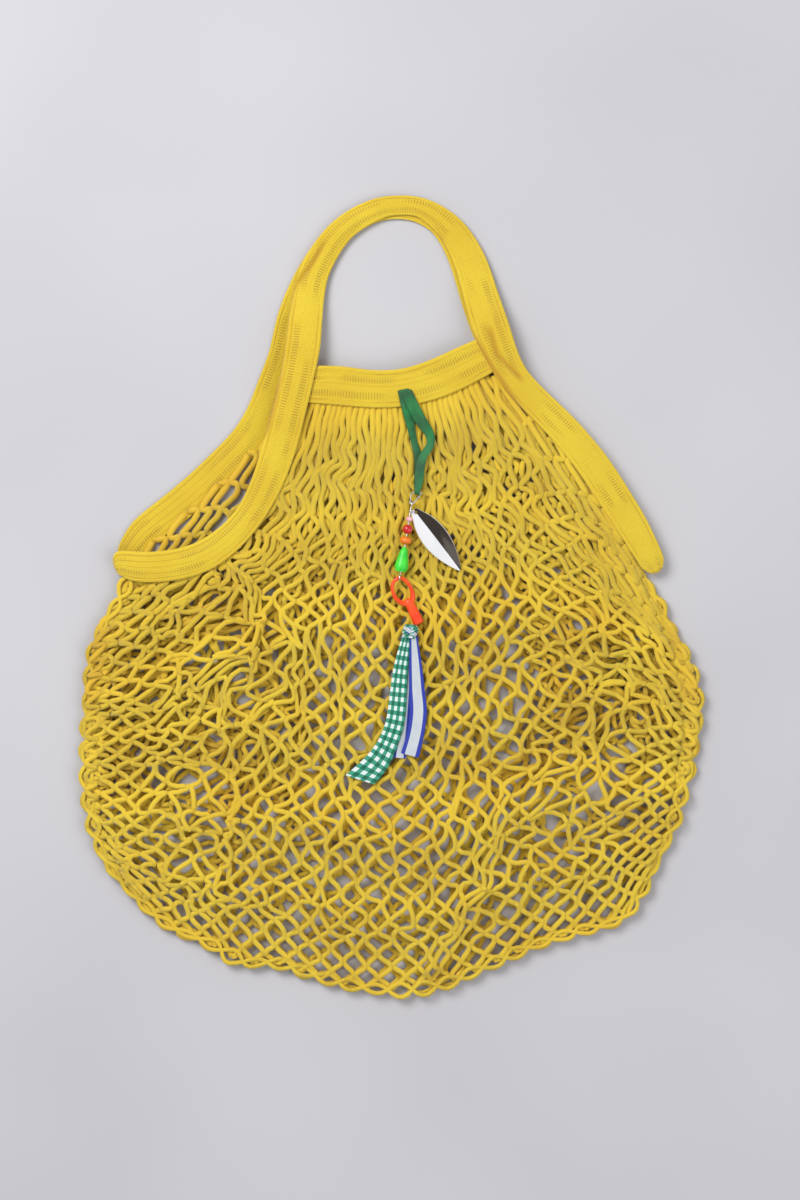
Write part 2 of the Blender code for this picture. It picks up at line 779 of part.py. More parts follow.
def main():
    """Clears the scene and makes every piece."""
    for obj in list(bpy.data.objects):
        bpy.data.objects.remove(obj)
    parts = bpy.data.collections.new("mesh_bag")
    cutters = bpy.data.collections.new("cutters")
    for collection in (parts, cutters):
        bpy.context.scene.collection.children.link(collection)

    cotton_tape = material("cotton_tape", (236, 208, 62), 0.9)
    cotton_net = material("cotton_net", (226, 196, 60), 0.9)
    green_satin = material("green_satin", (70, 150, 50), 0.45)
    silver_wire = material("silver_wire", (190, 190, 195), 0.25, 1.0)
    blade_chrome = material("blade_chrome", (225, 225, 230), 0.08, 1.0)
    pink_glass = material("pink_glass", (235, 190, 200), 0.1)
    red_bead = material("red_bead", (205, 25, 30), 0.2)
    orange_bead = material("orange_bead", (225, 140, 30), 0.25)
    float_green = material("float_green", (150, 215, 40), 0.35)
    orange_plastic = material("orange_plastic", (235, 100, 25), 0.4)
    gingham = material("gingham_cotton", (120, 185, 90), 0.8)
    white_ribbon = material("white_ribbon", (225, 228, 235), 0.7)
    bead_finish = {"bead_pink": pink_glass, "bead_red": red_bead, "bead_orange": orange_bead,
                   "float_green": float_green}

    front = front_tape_line()
    back = back_tape_line(front)
    band = smooth_strip(FRONT_BAND)
    strip("front_tape", front, RIDGED, CLOTH, cotton_tape, parts)
    strip("back_tape", back, FLAT, CLOTH, cotton_tape, parts)
    strip("front_mouth_band", band, RIDGED, CLOTH, cotton_tape, parts)
    back_band = back_mouth_band(back, cotton_tape, parts)
    front_lines = mouth_of_net(front, band, "front", FRONT_LAYER)
    back_lines = mouth_of_net(back, back_band, "back", BACK_LAYER + STACK)
    net_body(front_lines, back_lines, cotton_net, parts)

    satin_loop(green_satin, parts)
    wire_clip(silver_wire, parts)
    shaft_wire(silver_wire, parts)
    for row in BEADS:
        bead(row, bead_finish[row.name], parts)
    blade_clevis(silver_wire, parts)
    spinner_blade(blade_chrome, parts, cutters)
    orange_clip(orange_plastic, parts)
    ribbon_knot(gingham, parts)
    strip("gingham_ribbon", smooth_strip(GINGHAM), SOFT, RIBBON, gingham, parts)
    strip("blue_edge_ribbon", smooth_strip(BLUE_EDGE), SOFT, RIBBON, white_ribbon, parts)
    strip("blue_edge_tail", smooth_strip(TAIL), FLAT, RIBBON, white_ribbon, parts)


main()
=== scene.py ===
"""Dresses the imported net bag: knotless cotton netting, knitted tape handles and a ribbon, bead and blade charm.

Metres, +Z up. The bag lies on its back with its handles towards +Y. Tables are in millimetres.
"""

import json
import logging
import math
from collections import namedtuple
from collections.abc import Callable
from dataclasses import dataclass, replace
from enum import Enum
from typing import Any

import bmesh
import bpy
from mathutils import Matrix, Vector, noise

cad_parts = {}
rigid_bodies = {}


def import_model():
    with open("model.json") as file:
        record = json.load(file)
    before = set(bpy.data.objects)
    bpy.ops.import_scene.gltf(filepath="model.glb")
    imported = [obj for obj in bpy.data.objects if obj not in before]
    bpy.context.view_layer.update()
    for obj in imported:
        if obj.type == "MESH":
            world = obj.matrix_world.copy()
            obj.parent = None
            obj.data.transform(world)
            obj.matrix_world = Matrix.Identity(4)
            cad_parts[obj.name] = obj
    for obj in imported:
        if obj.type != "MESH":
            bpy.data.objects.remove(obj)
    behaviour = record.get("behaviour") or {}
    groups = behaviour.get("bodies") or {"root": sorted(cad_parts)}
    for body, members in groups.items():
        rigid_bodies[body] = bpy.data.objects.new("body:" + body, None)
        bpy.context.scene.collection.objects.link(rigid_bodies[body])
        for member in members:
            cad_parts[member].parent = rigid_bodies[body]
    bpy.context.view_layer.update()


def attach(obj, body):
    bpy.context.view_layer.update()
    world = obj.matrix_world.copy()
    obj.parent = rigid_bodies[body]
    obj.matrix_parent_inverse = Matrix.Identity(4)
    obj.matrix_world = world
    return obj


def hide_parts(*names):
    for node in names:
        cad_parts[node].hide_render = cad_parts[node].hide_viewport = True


for leftover in list(bpy.data.objects):
    bpy.data.objects.remove(leftover)
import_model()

Object, Material, Socket = bpy.types.Object, bpy.types.Material, bpy.types.NodeSocket
Line = list[tuple[Vector, float]]  # points, each with the swept outline's size there
Profile = tuple[tuple[float, float], ...]
Colour = tuple[float, float, float, float]
Wave = namedtuple("Wave", "often reach")  # how often a metre, and how many millimetres far

LOG = logging.getLogger("net_bag")
MM = 0.001
UP = Vector((0, 0, 1))
FULL_TURN = 2 * math.pi

# Cloth and the heights at which its layers lie, as in the solids
CLOTH = 1.6 * MM
GAP = 0.3 * MM
STACK = CLOTH + GAP
FRONT_LAYER = 8.8 * MM
NET_RIM = 4.4 * MM
LAP = 4.0 * MM
FINE = 3  # steps by which the solids' sections are refined
NARROWEST_SHEET = 10 * MM  # the width that a strip's mean width is compared with

# The tapes: how their tips fold under, and where the back mouth band meets the legs
TAPE_THICKNESS = CLOTH - 0.1 * MM
TIP_DROP = 7.2 * MM
TIP_HEADING = math.radians(108)
TIP_TURNS = (1.0, 0.7, 0.4, 0.15)
TIP_CORNER = 9 * MM
TURN_STEPS = 14
BACK_BAND_WIDTH = 22 * MM
BACK_BAND_LEFT = 136 * MM
BACK_BAND_RIGHT = 154 * MM
BACK_BAND_SEAM = 1.0 * MM
BACK_BAND_SPANS = 24
BAND_SEWN = (-58 * MM, 60 * MM)

NET_SEED = 4  # of the uneven lie, so that each run is the same
BESIDE_TIP = 6  # sections at a tape's tip that the netting leaves free

# How a strand swings from one junction to the next: share of the way down, share of the way across
SWINGS = ((0.0, 0.0), (0.16, 0.05), (0.38, 0.3), (0.62, 0.7), (0.84, 0.95))
CROSSING = 0.25 * MM  # how far the strands rise over one another
KISS = 0.42  # how far a junction's strands lie from its middle, in half widths
GATHERED_KISS = 0.4  # what the gather adds to that
WIDEST_KISS = 0.22  # of a column
GATHERED = 0.35  # share of the rows that the gather takes
NEAR = 0.004  # share of the columns over which the spacing is measured
WANDER = 4.6 * MM  # how far a slack strand strays
SUNK = 2.6  # how deep a ply's ends sink, in millimetres
GATHER_WAVE, SLOW_WAVE, QUICK_WAVE, RISE_WAVE, RIM_WAVE = (
    Wave(70, 5), Wave(19, 15), Wave(62, 7.5), Wave(55, 1.6), Wave(40, 3.4))

# The charm's wire shaft and its blade
SHAFT_TOP = Vector((13.0, 60.6, 15.3)) * MM
SHAFT_END = Vector((5.3, 13.7, 15.3)) * MM
WIRE = 0.5 * MM
EYE = 2.0 * MM
EYE_OPENING = math.radians(42)
EYE_STEPS = 20
CLEVIS_STATION = 3.0 * MM
CLEVIS_RADIUS = 2.4 * MM
CLEVIS_WIRE = 0.45 * MM
CLEVIS_SIDES = 12
CLEVIS_SHIFT = CLEVIS_RADIUS - CLEVIS_WIRE - WIRE - GAP
BLADE_SHEET = 0.7 * MM
BLADE_LEAN = Vector((34, 36.5, 4))
BLADE_LANES = 12
BLADE_HOLE = 1.0 * MM
RIBBON_FOLD = Vector((17, 70.8, 12.4)) * MM
KNOT_MIDDLE = Vector((12.4, -25.6, 14.4)) * MM
KNOT_GRID = (36, 6)
RIBBON = 0.7 * MM


def table(columns: str, *rows: tuple) -> list[Any]:
    """Rows of millimetres with named columns.

    Args:
        columns: The columns' names, parted by spaces.
        rows: One tuple for each row.

    Returns:
        The rows as named tuples.
    """
    row_type = namedtuple("Row", columns)
    return [row_type(*row) for row in rows]


STRIP = "x y z width"
FRONT_TAPE = table(
    STRIP,
    (-190, 21, 8.0, 21), (-172, 19, 10.7, 21), (-150, 21, 10.7, 21), (-131, 27, 10.7, 21),
    (-115, 38, 10.7, 20), (-101, 53, 10.7, 19), (-89, 74, 10.7, 21), (-79, 101, 10.9, 23),
    (-72, 127, 13.0, 23), (-66, 152, 13.0, 23), (-62, 175, 11.5, 24), (-59, 205, 5.6, 22),
    (-53, 229, 3.2, 20), (-36, 254, 2.7, 17), (-14, 268, 2.7, 15), (5, 272, 2.7, 13),
    (23, 269, 2.7, 14), (41, 255, 2.7, 19), (54, 233, 3.6, 22), (62, 207, 7.0, 24),
    (69, 184, 13.0, 25), (77, 164, 13.0, 22), (86, 149, 13.0, 20), (100, 134, 11.0, 20),
    (120, 114, 10.7, 21), (139, 91, 10.7, 22), (155, 67, 10.7, 22), (168, 46, 10.7, 21),
    (178, 28, 10.4, 18), (183, 19, 8.0, 16),
)
BACK_TAPE = table(
    STRIP,
    (-175, 42, 0.8, 22), (-155, 58, 0.8, 23), (-137, 73, 0.8, 23), (-119, 90, 0.8, 23),
    (-102, 108, 0.8, 23), (-91, 126, 0.8, 23), (-83, 146, 0.8, 23), (-76, 168, 0.8, 21),
    (-71, 190, 0.8, 21), (-65, 208, 0.8, 20), (-57, 226, 0.8, 18), (-44, 245, 0.8, 17),
    (-28, 259, 0.8, 14), (-8, 268, 0.8, 13), (14, 268, 0.8, 13), (34, 259, 0.8, 17),
    (47, 238, 0.8, 18), (56, 213, 0.8, 20), (64, 190, 0.8, 21), (73, 169, 0.8, 20),
    (86, 148, 0.8, 18), (103, 130, 0.8, 18), (121, 112, 0.8, 19), (139, 90, 0.8, 20),
    (155, 66, 0.8, 20), (168, 45, 0.8, 19), (177, 30, 0.8, 17),
)
FRONT_BAND = table(
    STRIP,
    (-68, 146, 10.7, 23), (-52, 146, 10.7, 26), (-35, 145, 10.7, 27), (-14, 143, 10.7, 26),
    (8, 144, 10.7, 26), (30, 150, 10.7, 27), (50, 159, 10.7, 27), (66, 167, 10.7, 25),
)
LEFT_RIM = (
    (-184, 14), (-193, -6), (-207, -30), (-213, -60), (-214, -98), (-214, -138), (-205, -178), (-190, -200),
)
RIGHT_RIM = (
    (173, 13), (187, -6), (192, -20), (202, -38), (211, -60), (214, -86), (208, -117), (196, -162), (180, -196),
)
BOTTOM_RIM = (
    (-190, -200), (-172, -219), (-154, -233), (-128, -244), (-105, -257), (-80, -258), (-50, -268), (-20, -275),
    (10, -277), (38, -272), (66, -260), (98, -246), (128, -236), (161, -226), (180, -196),
)
# Where the front net is bunched up: each a soft ridge that draws the strands together
FOLDS = table(
    "x0 y0 x1 y1 rise spread pull",
    (-170, 2, -182, -76, 4.0, 13, 0.4), (-94, 4, -108, -50, 3.5, 11, 0.55),
    (-198, -74, -150, -118, 3.0, 15, 0.35), (-182, -186, -116, -212, 2.5, 16, 0.3),
    (86, -154, 26, -262, 4.5, 14, 0.5), (146, -18, 118, -116, 3.0, 15, 0.4),
    (182, -32, 198, -104, 3.0, 14, 0.3),
)
# Where a fold adds a ply of netting between the layers: its columns, its rows and its height off its layer
PLIES = table(
    "side first last top end lift",
    ("front", 5, 26, 0, 14, -2.2), ("back", 0, 9, 6, 30, 3.0), ("back", 20, 26, 7, 28, 3.0),
)
# Where the net lies restless: middle, reach and how much
CRUMPLES = table(
    "x y reach share",
    (-160, -70, 75, 1.0), (-110, -20, 45, 0.7), (165, -70, 60, 0.9), (110, -130, 50, 0.5), (-150, -180, 50, 0.5),
)
# Where the tapes are folded lengthwise into a groove
GROOVES = (
    ((-49, 243), (-56, 231), (-69, 214), (-73, 196), (-76, 169), (-80, 142), (-87, 114)),
    ((33, 250), (44, 217), (54, 183), (59, 175), (70, 157), (89, 129)),
    ((68, 183), (73, 166), (89, 150)),
)
CREASES = [(Vector(a) * MM, Vector(b) * MM) for line in GROOVES for a, b in zip(line, line[1:])]
CREASE_DEPTH = 1.7 * MM
CREASE_WIDTH = 1.8 * MM
LOOP_DOWN = table(
    STRIP,
    (7.4, 142.5, 12.7, 8), (10.4, 129, 12.6, 8), (12.6, 118, 11.6, 6), (14.8, 107, 11.1, 4.6),
    (17.5, 97, 10.9, 5.4), (18.6, 88, 10.9, 6.6), (18, 79, 10.9, 6.2), (17, 71, 10.9, 3.6),
)
LOOP_UP = table(
    STRIP,
    (17, 71, 13.9, 3.6), (18.4, 79, 13.7, 6.2), (19.2, 88, 13.5, 6.6), (21.6, 96.5, 13.2, 5.8),
    (26.2, 103.5, 12.8, 5.6), (26.0, 111, 12.9, 6.4), (20.5, 119.5, 13.4, 8), (14.6, 130, 14.0, 8.4),
    (9.4, 141, 14.0, 8.2),
)
GINGHAM = table(
    STRIP,
    (10.2, -28.5, 13.2, 6.5), (6, -50, 12.0, 10), (4, -70, 11.7, 12), (2, -88, 11.8, 13),
    (-3, -103, 11.7, 14), (-11, -117, 11.9, 17), (-23, -129, 11.7, 19),
)
GINGHAM_CUT = (math.radians(27), 22 * MM)  # how far its end is turned, and over what length
BLUE_EDGE = table(
    STRIP,
    (14.6, -28.5, 14.5, 5), (16, -49, 13.3, 9), (17, -67, 13.0, 11), (18, -81, 13.2, 12),
    (16, -97, 13.0, 12), (12, -112, 13.0, 13),
)
TAIL = table(STRIP, (11, -40, 10.4, 7), (9, -70, 10.4, 8), (7, -95, 10.4, 8), (5, -114, 10.4, 9))
BEADS = table(
    "node slot station radius length taper",
    ("bead_pink", "pink_glass", 8.5, 2.4, 3.6, 0),
    ("bead_red", "red_bead", 15.6, 3.5, 6.4, 0),
    ("bead_orange", "orange_bead", 23.5, 4.2, 5.6, 0),
    ("float_green", "float_green", 36.8, 4.8, 17.0, 2.6),
)
# Along the blade, its half width and how deep it is cupped
BLADE_OUTLINE = (
    (-2.2, 1.6, 0.0), (-1.0, 2.8, 0.0), (2.5, 4.4, 0.1), (9.0, 7.3, 0.9), (17.0, 9.0, 1.7),
    (25.0, 9.2, 2.0), (33.0, 8.0, 1.7), (41.0, 5.5, 0.9), (48.0, 2.4, 0.2), (51.0, 0.6, 0.0),
)
# Down the wire ring, and how far each side of it lies from its middle
RING_OUTLINE = ((0, 2.6), (0.04, 3.2), (0.16, 3.4), (0.5, 2.5), (0.84, 1.7), (0.96, 1.3), (1.0, 0.8))
SNAP_LOOP = (
    (4.95, 11.6, 15.3), (2.2, 10.2, 15.2), (0.2, 7.2, 14.9), (0.0, 3.2, 14.6), (2.6, -3.0, 14.0),
    (8.4, -6.4, 13.4), (13.0, -5.4, 13.2), (14.0, 0.6, 13.8), (11.6, 6.6, 14.6), (8.2, 10.4, 15.1),
)
SNAP_START, SNAP_TIP = Vector((10.4, -3.0, 13.2)) * MM, Vector((18.7, -20.6, 12.8)) * MM
SNAP_SIZE = (7.6 * MM, 4.6 * MM)
SNAP_TAPER = 0.8  # of its tip
SNAP_ROUNDING = 2.1 * MM
SNAP_BAR = (1.3 * MM, 1.2 * MM)
SNAP_ROOT = (0.75, 9 * MM)  # how much thicker the bar is near the solid end, and over what length


def mirrored(half: Profile) -> Profile:
    """A whole profile from its right half."""
    return tuple((-side, rise) for side, rise in half[:0:-1]) + half


# Profiles across a strip: side (-1 to 1) and rise in millimetres
TAPE_PROFILE = mirrored((
    (0, 1.3), (0.14, 1.3), (0.28, 1.25), (0.44, 1.1), (0.6, 0.8), (0.74, 0.45), (0.84, 0.75), (0.93, 0.5),
    (1, -0.2),
))
BAND_PROFILE = (
    (-1, -0.1), (-0.93, 0.4), (-0.84, 0.55), (-0.7, 0.45), (-0.5, 0.55), (-0.3, 0.6), (-0.1, 0.6), (0, 0.55),
    (0.08, -0.05), (0.16, 0.6), (0.28, 0.6), (0.36, -0.05), (0.44, 0.6), (0.54, 0.6), (0.62, -0.05), (0.7, 0.6),
    (0.78, 0.05), (0.86, 0.7), (0.94, 0.5), (1, -0.1),
)
BACK_PROFILE = tuple((side, max(rise, 0) * 0.35) for side, rise in TAPE_PROFILE)
RIBBON_PROFILE = mirrored(((0, 0.24), (0.5, 0.2), (0.85, 0.1), (1, 0)))


class Side(Enum):
    """The two layers of the bag as it lies."""

    FRONT = "front"
    BACK = "back"


@dataclass(frozen=True)
class Section:
    """One place along a strip of cloth."""

    middle: Vector
    width: float
    heading: float
    up: Vector = UP

    def across(self) -> Vector:
        """The level direction across the strip."""
        return Vector((math.cos(self.heading), math.sin(self.heading), 0))

    def along(self) -> Vector:
        """The level direction in which the strip runs."""
        return Vector((math.sin(self.heading), -math.cos(self.heading), 0))

    def net_edge(self, inset: float) -> Vector:
        """The point on the net's side, this far in from the edge."""
        return self.middle - self.across() * (self.width / 2 - inset)

    def is_level(self) -> bool:
        """Whether the section lies level, unlike those of a turn."""
        return self.up.z > 0.9


def ease(t: float) -> float:
    """0 to 1 with level ends."""
    t = min(max(t, 0), 1)
    return t * t * (3 - 2 * t)


def smooth_line(points: list[Vector], steps: int) -> list[Vector]:
    """Puts a smooth curve through points.

    Args:
        points: The given points.
        steps: How many points each span gets.

    Returns:
        Points along the curve, with the last given one at its end.
    """
    made = []
    for i, (start, end) in enumerate(zip(points, points[1:])):
        before, after = points[max(i - 1, 0)], points[min(i + 2, len(points) - 1)]
        slope_in, slope_out, swing = (end - before) / 2, (after - start) / 2, end - start
        for step in range(steps):
            t = step / steps
            bend = slope_in + slope_out - 2 * swing
            made.append(start + t * (slope_in + t * (3 * swing - 2 * slope_in - slope_out + t * bend)))
    return made + [points[-1]]


def smooth_ring(points: list[Vector], steps: int) -> list[Vector]:
    """Points along a smooth closed curve through the given ones."""
    return smooth_line([points[-1]] + points + points[:2], steps)[steps:-steps - 1]


def share_of(points: list[Vector], share: float) -> Vector:
    """The point at this share of a line's length."""
    lengths = [(b - a).length for a, b in zip(points, points[1:])]
    left = min(max(share, 0), 1) * sum(lengths)
    for start, end, length in zip(points, points[1:], lengths):
        if left <= length:
            return start.lerp(end, left / length)
        left -= length
    return points[-1].copy()


def way_from(start: Vector, end: Vector, place: Vector) -> Vector:
    """The way to a point from the nearest point of a straight line in plan."""
    run = end - start
    share = min(max((place - start).dot(run) / run.length_squared, 0), 1)
    return place - start - run * share


def sections(rows: list[Any], back: bool = False) -> list[Section]:
    """Lays a section square to the line of the rows at each row.

    Args:
        rows: A table with x, y, z and width.
        back: Whether the strip comes back on itself, which turns it over.

    Returns:
        One section for each row.
    """
    made: list[Section] = []
    for i, row in enumerate(rows):
        before, after = rows[max(i - 1, 0)], rows[min(i + 1, len(rows) - 1)]
        run = math.atan2(after.y - before.y, after.x - before.x)
        square = run - math.pi / 2 if back else run + math.pi / 2
        if made and abs(square - made[-1].heading) > math.pi:
            square -= math.copysign(FULL_TURN, square - made[-1].heading)
        made.append(Section(Vector((row.x, row.y, row.z)) * MM, row.width * MM, square))
    return made


def smooth_sections(given: list[Section], steps: int) -> list[Section]:
    """Level sections on a smooth curve through the given ones."""
    middles = smooth_line([s.middle for s in given], steps)
    others = smooth_line([Vector((s.width, s.heading, 0)) for s in given], steps)
    return [Section(m, o.x, o.y) for m, o in zip(middles, others)]


def smooth_strip(rows: list[Any], back: bool = False) -> list[Section]:
    """Fine sections on a smooth curve through a table's rows."""
    return smooth_sections(smooth_sections(sections(rows, back), 2), FINE)


def cut_aslant(line: list[Section], angle: float, reach: float) -> list[Section]:
    """Turns the last sections of a strip, whose end the scissors cut aslant.

    Args:
        line: The strip's sections.
        angle: How far the end is turned.
        reach: How far from the end the turn starts.

    Returns:
        The sections, turned towards the end.
    """
    made = []
    for section in line:
        turned = angle * ease(1 - (line[-1].middle - section.middle).length / reach)
        width = section.width / math.cos(turned)
        made.append(replace(section, heading=section.heading + turned, width=width))
    return made


def turn_under(section: Section, outward: Vector, drop: float) -> list[Section]:
    """A half turn that takes a strip to a drop below a section.

    Args:
        section: Where the turn starts.
        outward: The level direction in which it bulges.
        drop: How far below the section it ends.

    Returns:
        The sections of the turn, without the given one.
    """
    centre = section.middle - UP * drop / 2
    made = []
    for step in range(1, TURN_STEPS + 2):
        angle = math.pi * step / (TURN_STEPS + 1)
        up = outward * math.sin(angle) + UP * math.cos(angle)
        made.append(replace(section, middle=centre + up * drop / 2, up=up * max(0, math.cos(angle))))
    return made


def in_scene(data: bpy.types.ID) -> Object:
    """A new object in the scene with this data and its name."""
    obj = bpy.data.objects.new(data.name, data)
    bpy.context.scene.collection.objects.link(obj)
    return obj


def piece_of(name: str, bm: bmesh.types.BMesh) -> Object:
    """An object in the scene made from a bmesh, which it frees."""
    mesh = bpy.data.meshes.new(name)
    bm.to_mesh(mesh)
    bm.free()
    return in_scene(mesh)


def stands_in(obj: Object, look: Material, node: str, slot: str, body: str = "bag", angle: float = 50) -> Object:
    """Finishes a piece and lets it stand for its node.

    Args:
        obj: The piece.
        look: Its material.
        node: The node that it stands for.
        slot: The record's material slot; not used.
        body: The body that it moves with.
        angle: Edges sharper than this many degrees stay sharp.

    Returns:
        The same piece.
    """
    obj.data.materials.append(look)
    obj.data.shade_smooth()
    obj.data.set_sharp_from_angle(angle=math.radians(angle))
    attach(obj, body)
    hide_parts(node)
    LOG.info("%s: %d faces", obj.name, len(obj.data.polygons))
    return obj


def thickened(obj: Object, thickness: float) -> None:
    """Gives a sheet its thickness and rounds it, with the same levels in view and render."""
    shell = obj.modifiers.new("Thickness", "SOLIDIFY")
    shell.thickness = thickness
    shell.offset = 0
    soft = obj.modifiers.new("Rounding", "SUBSURF")
    soft.levels = soft.render_levels = 1


def shaped_grid(rows: int, lanes: int, place: Callable, **charts: Callable) -> bmesh.types.BMesh:
    """Shapes a grid of cells.

    Args:
        rows: How many cells long it is.
        lanes: How many cells wide it is.
        place: Gives the point at a row and a lane.
        charts: Give each UV map's point at a row and a lane.

    Returns:
        The shaped grid with its maps.
    """
    bm = bmesh.new()
    layers = [(bm.loops.layers.uv.new(name), at) for name, at in charts.items()]
    bmesh.ops.create_grid(bm, x_segments=rows, y_segments=lanes, size=1)
    for vert in bm.verts:
        row, lane = round((vert.co.x + 1) / 2 * rows), round((vert.co.y + 1) / 2 * lanes)
        vert.co = place(row, lane)
        for layer, at in layers:
            spot = at(row, lane)
            for loop in vert.link_loops:
                loop[layer].uv = spot
    return bm


def set_down(bm: bmesh.types.BMesh, turn: Matrix, place: Vector) -> None:
    """Turns a bmesh about the origin and moves it to its place."""
    bmesh.ops.transform(bm, matrix=Matrix.Translation(place) @ turn, verts=bm.verts[:])


def add_line(curve: bpy.types.Curve, line: Line, closed: bool) -> None:
    """Adds a line of points, each with its size, to a curve."""
    spline = curve.splines.new("POLY")
    spline.points.add(len(line) - 1)
    for point, (place, size) in zip(spline.points, line):
        point.co = (*place, 1)
        point.radius = size
    spline.use_cyclic_u = closed


def tube(name: str, lines: list[Line], outline: Line, closed: bool = False) -> Object:
    """Sweeps an outline along lines and makes the sweep one mesh.

    Args:
        name: The piece's name.
        lines: The lines.
        outline: The swept outline, level side first.
        closed: Whether the lines close on themselves.

    Returns:
        A mesh object with the sweep's UV map: round it, then along it.
    """
    shape = bpy.data.curves.new(name + "_outline", "CURVE")
    add_line(shape, outline, True)
    outlined = in_scene(shape)
    curve = bpy.data.curves.new(name + "_path", "CURVE")
    curve.dimensions = "3D"
    curve.twist_mode = "Z_UP"
    curve.bevel_mode = "OBJECT"
    curve.bevel_object = outlined
    curve.use_fill_caps = not closed
    for line in lines:
        add_line(curve, line, closed)
    guide = in_scene(curve)
    bpy.context.view_layer.update()
    mesh = bpy.data.meshes.new_from_object(guide.evaluated_get(bpy.context.evaluated_depsgraph_get()))
    for used, data in ((guide, curve), (outlined, shape)):
        bpy.data.objects.remove(used)
        bpy.data.curves.remove(data)
    bm = bmesh.new()
    bm.from_mesh(mesh)
    bpy.data.meshes.remove(mesh)
    bmesh.ops.remove_doubles(bm, verts=bm.verts[:], dist=0.005 * MM)
    bmesh.ops.recalc_face_normals(bm, faces=bm.faces[:])
    return piece_of(name, bm)


def oval(half_width: float, half_height: float, sides: int) -> Line:
    """Points round an oval."""
    turns = [FULL_TURN * (i + 0.5) / sides for i in range(sides)]
    return [(Vector((half_width * math.cos(t), half_height * math.sin(t), 0)), 1.0) for t in turns]


class Graph:
    """Adds nodes to one tree and joins them."""

    def __init__(self, tree: bpy.types.NodeTree) -> None:
        """Keeps the tree of a material or a group."""
        self.tree = tree

    def feed(self, socket: Socket, value: Any) -> None:
        """Joins a socket to another one, or sets its value."""
        if isinstance(value, Socket):
            self.tree.links.new(value, socket)
        else:
            socket.default_value = value

    def node(self, kind: str, **values: Any) -> bpy.types.Node:
        """Adds a shader node.

        Args:
            kind: The node's type.
            values: Its settings, and with a capital and _ for a space, its inputs.

        Returns:
            The new node.
        """
        made = self.tree.nodes.new("ShaderNode" + kind)
        for key, value in values.items():
            if key[0].isupper():
                self.feed(made.inputs[key.replace("_", " ")], value)
            else:
                setattr(made, key, value)
        return made

    def math(self, operation: str, *values: Any) -> Socket:
        """The result of a Math node."""
        made = self.node("Math", operation=operation)
        for socket, value in zip(made.inputs, values):
            self.feed(socket, value)
        return made.outputs[0]

    def times(self, first: Any, second: Any) -> Socket:
        """The product of two values."""
        return self.math("MULTIPLY", first, second)

    def off(self, value: Any, middle: float) -> Socket:
        """How far a value lies from a middle."""
        return self.math("ABSOLUTE", self.math("SUBTRACT", value, middle))

    def remap(self, value: Any, low: float, high: float, to_low: float = 0.0, to_high: float = 1.0) -> Socket:
        """A value moved smoothly from one range to another, and kept inside it."""
        return self.node("MapRange", interpolation_type="SMOOTHSTEP", Value=value, From_Min=low, From_Max=high,
                         To_Min=to_low, To_Max=to_high).outputs["Result"]

    def mix(self, factor: Any, first: Any, second: Any) -> Socket:
        """A mix of two colours."""
        made = self.node("Mix", data_type="RGBA")
        for index, value in ((0, factor), (6, first), (7, second)):
            self.feed(made.inputs[index], value)
        return made.outputs[2]

    def noise(self, scale: Any, detail: float, vector: Any = None) -> Socket:
        """The value of a Noise Texture on Object coordinates or another vector."""
        return self.node("TexNoise", Vector=vector or self.place(), Scale=scale, Detail=detail).outputs["Fac"]

    def parts(self, vector: Any) -> list[Socket]:
        """The X, Y and Z of a vector."""
        return self.node("SeparateXYZ", Vector=vector).outputs[:]

    def uv(self, name: str) -> Socket:
        """A UV map of the piece."""
        return self.node("UVMap", uv_map=name).outputs[0]

    def place(self) -> Socket:
        """Object coordinates."""
        return self.node("TexCoord").outputs["Object"]


def srgb(red: int, green: int, blue: int) -> Colour:
    """A linear colour from screen values of 0 to 255."""
    linear = [((c / 255 + 0.055) / 1.055) ** 2.4 if c > 10 else c / 255 / 12.92 for c in (red, green, blue)]
    return (*linear, 1.0)


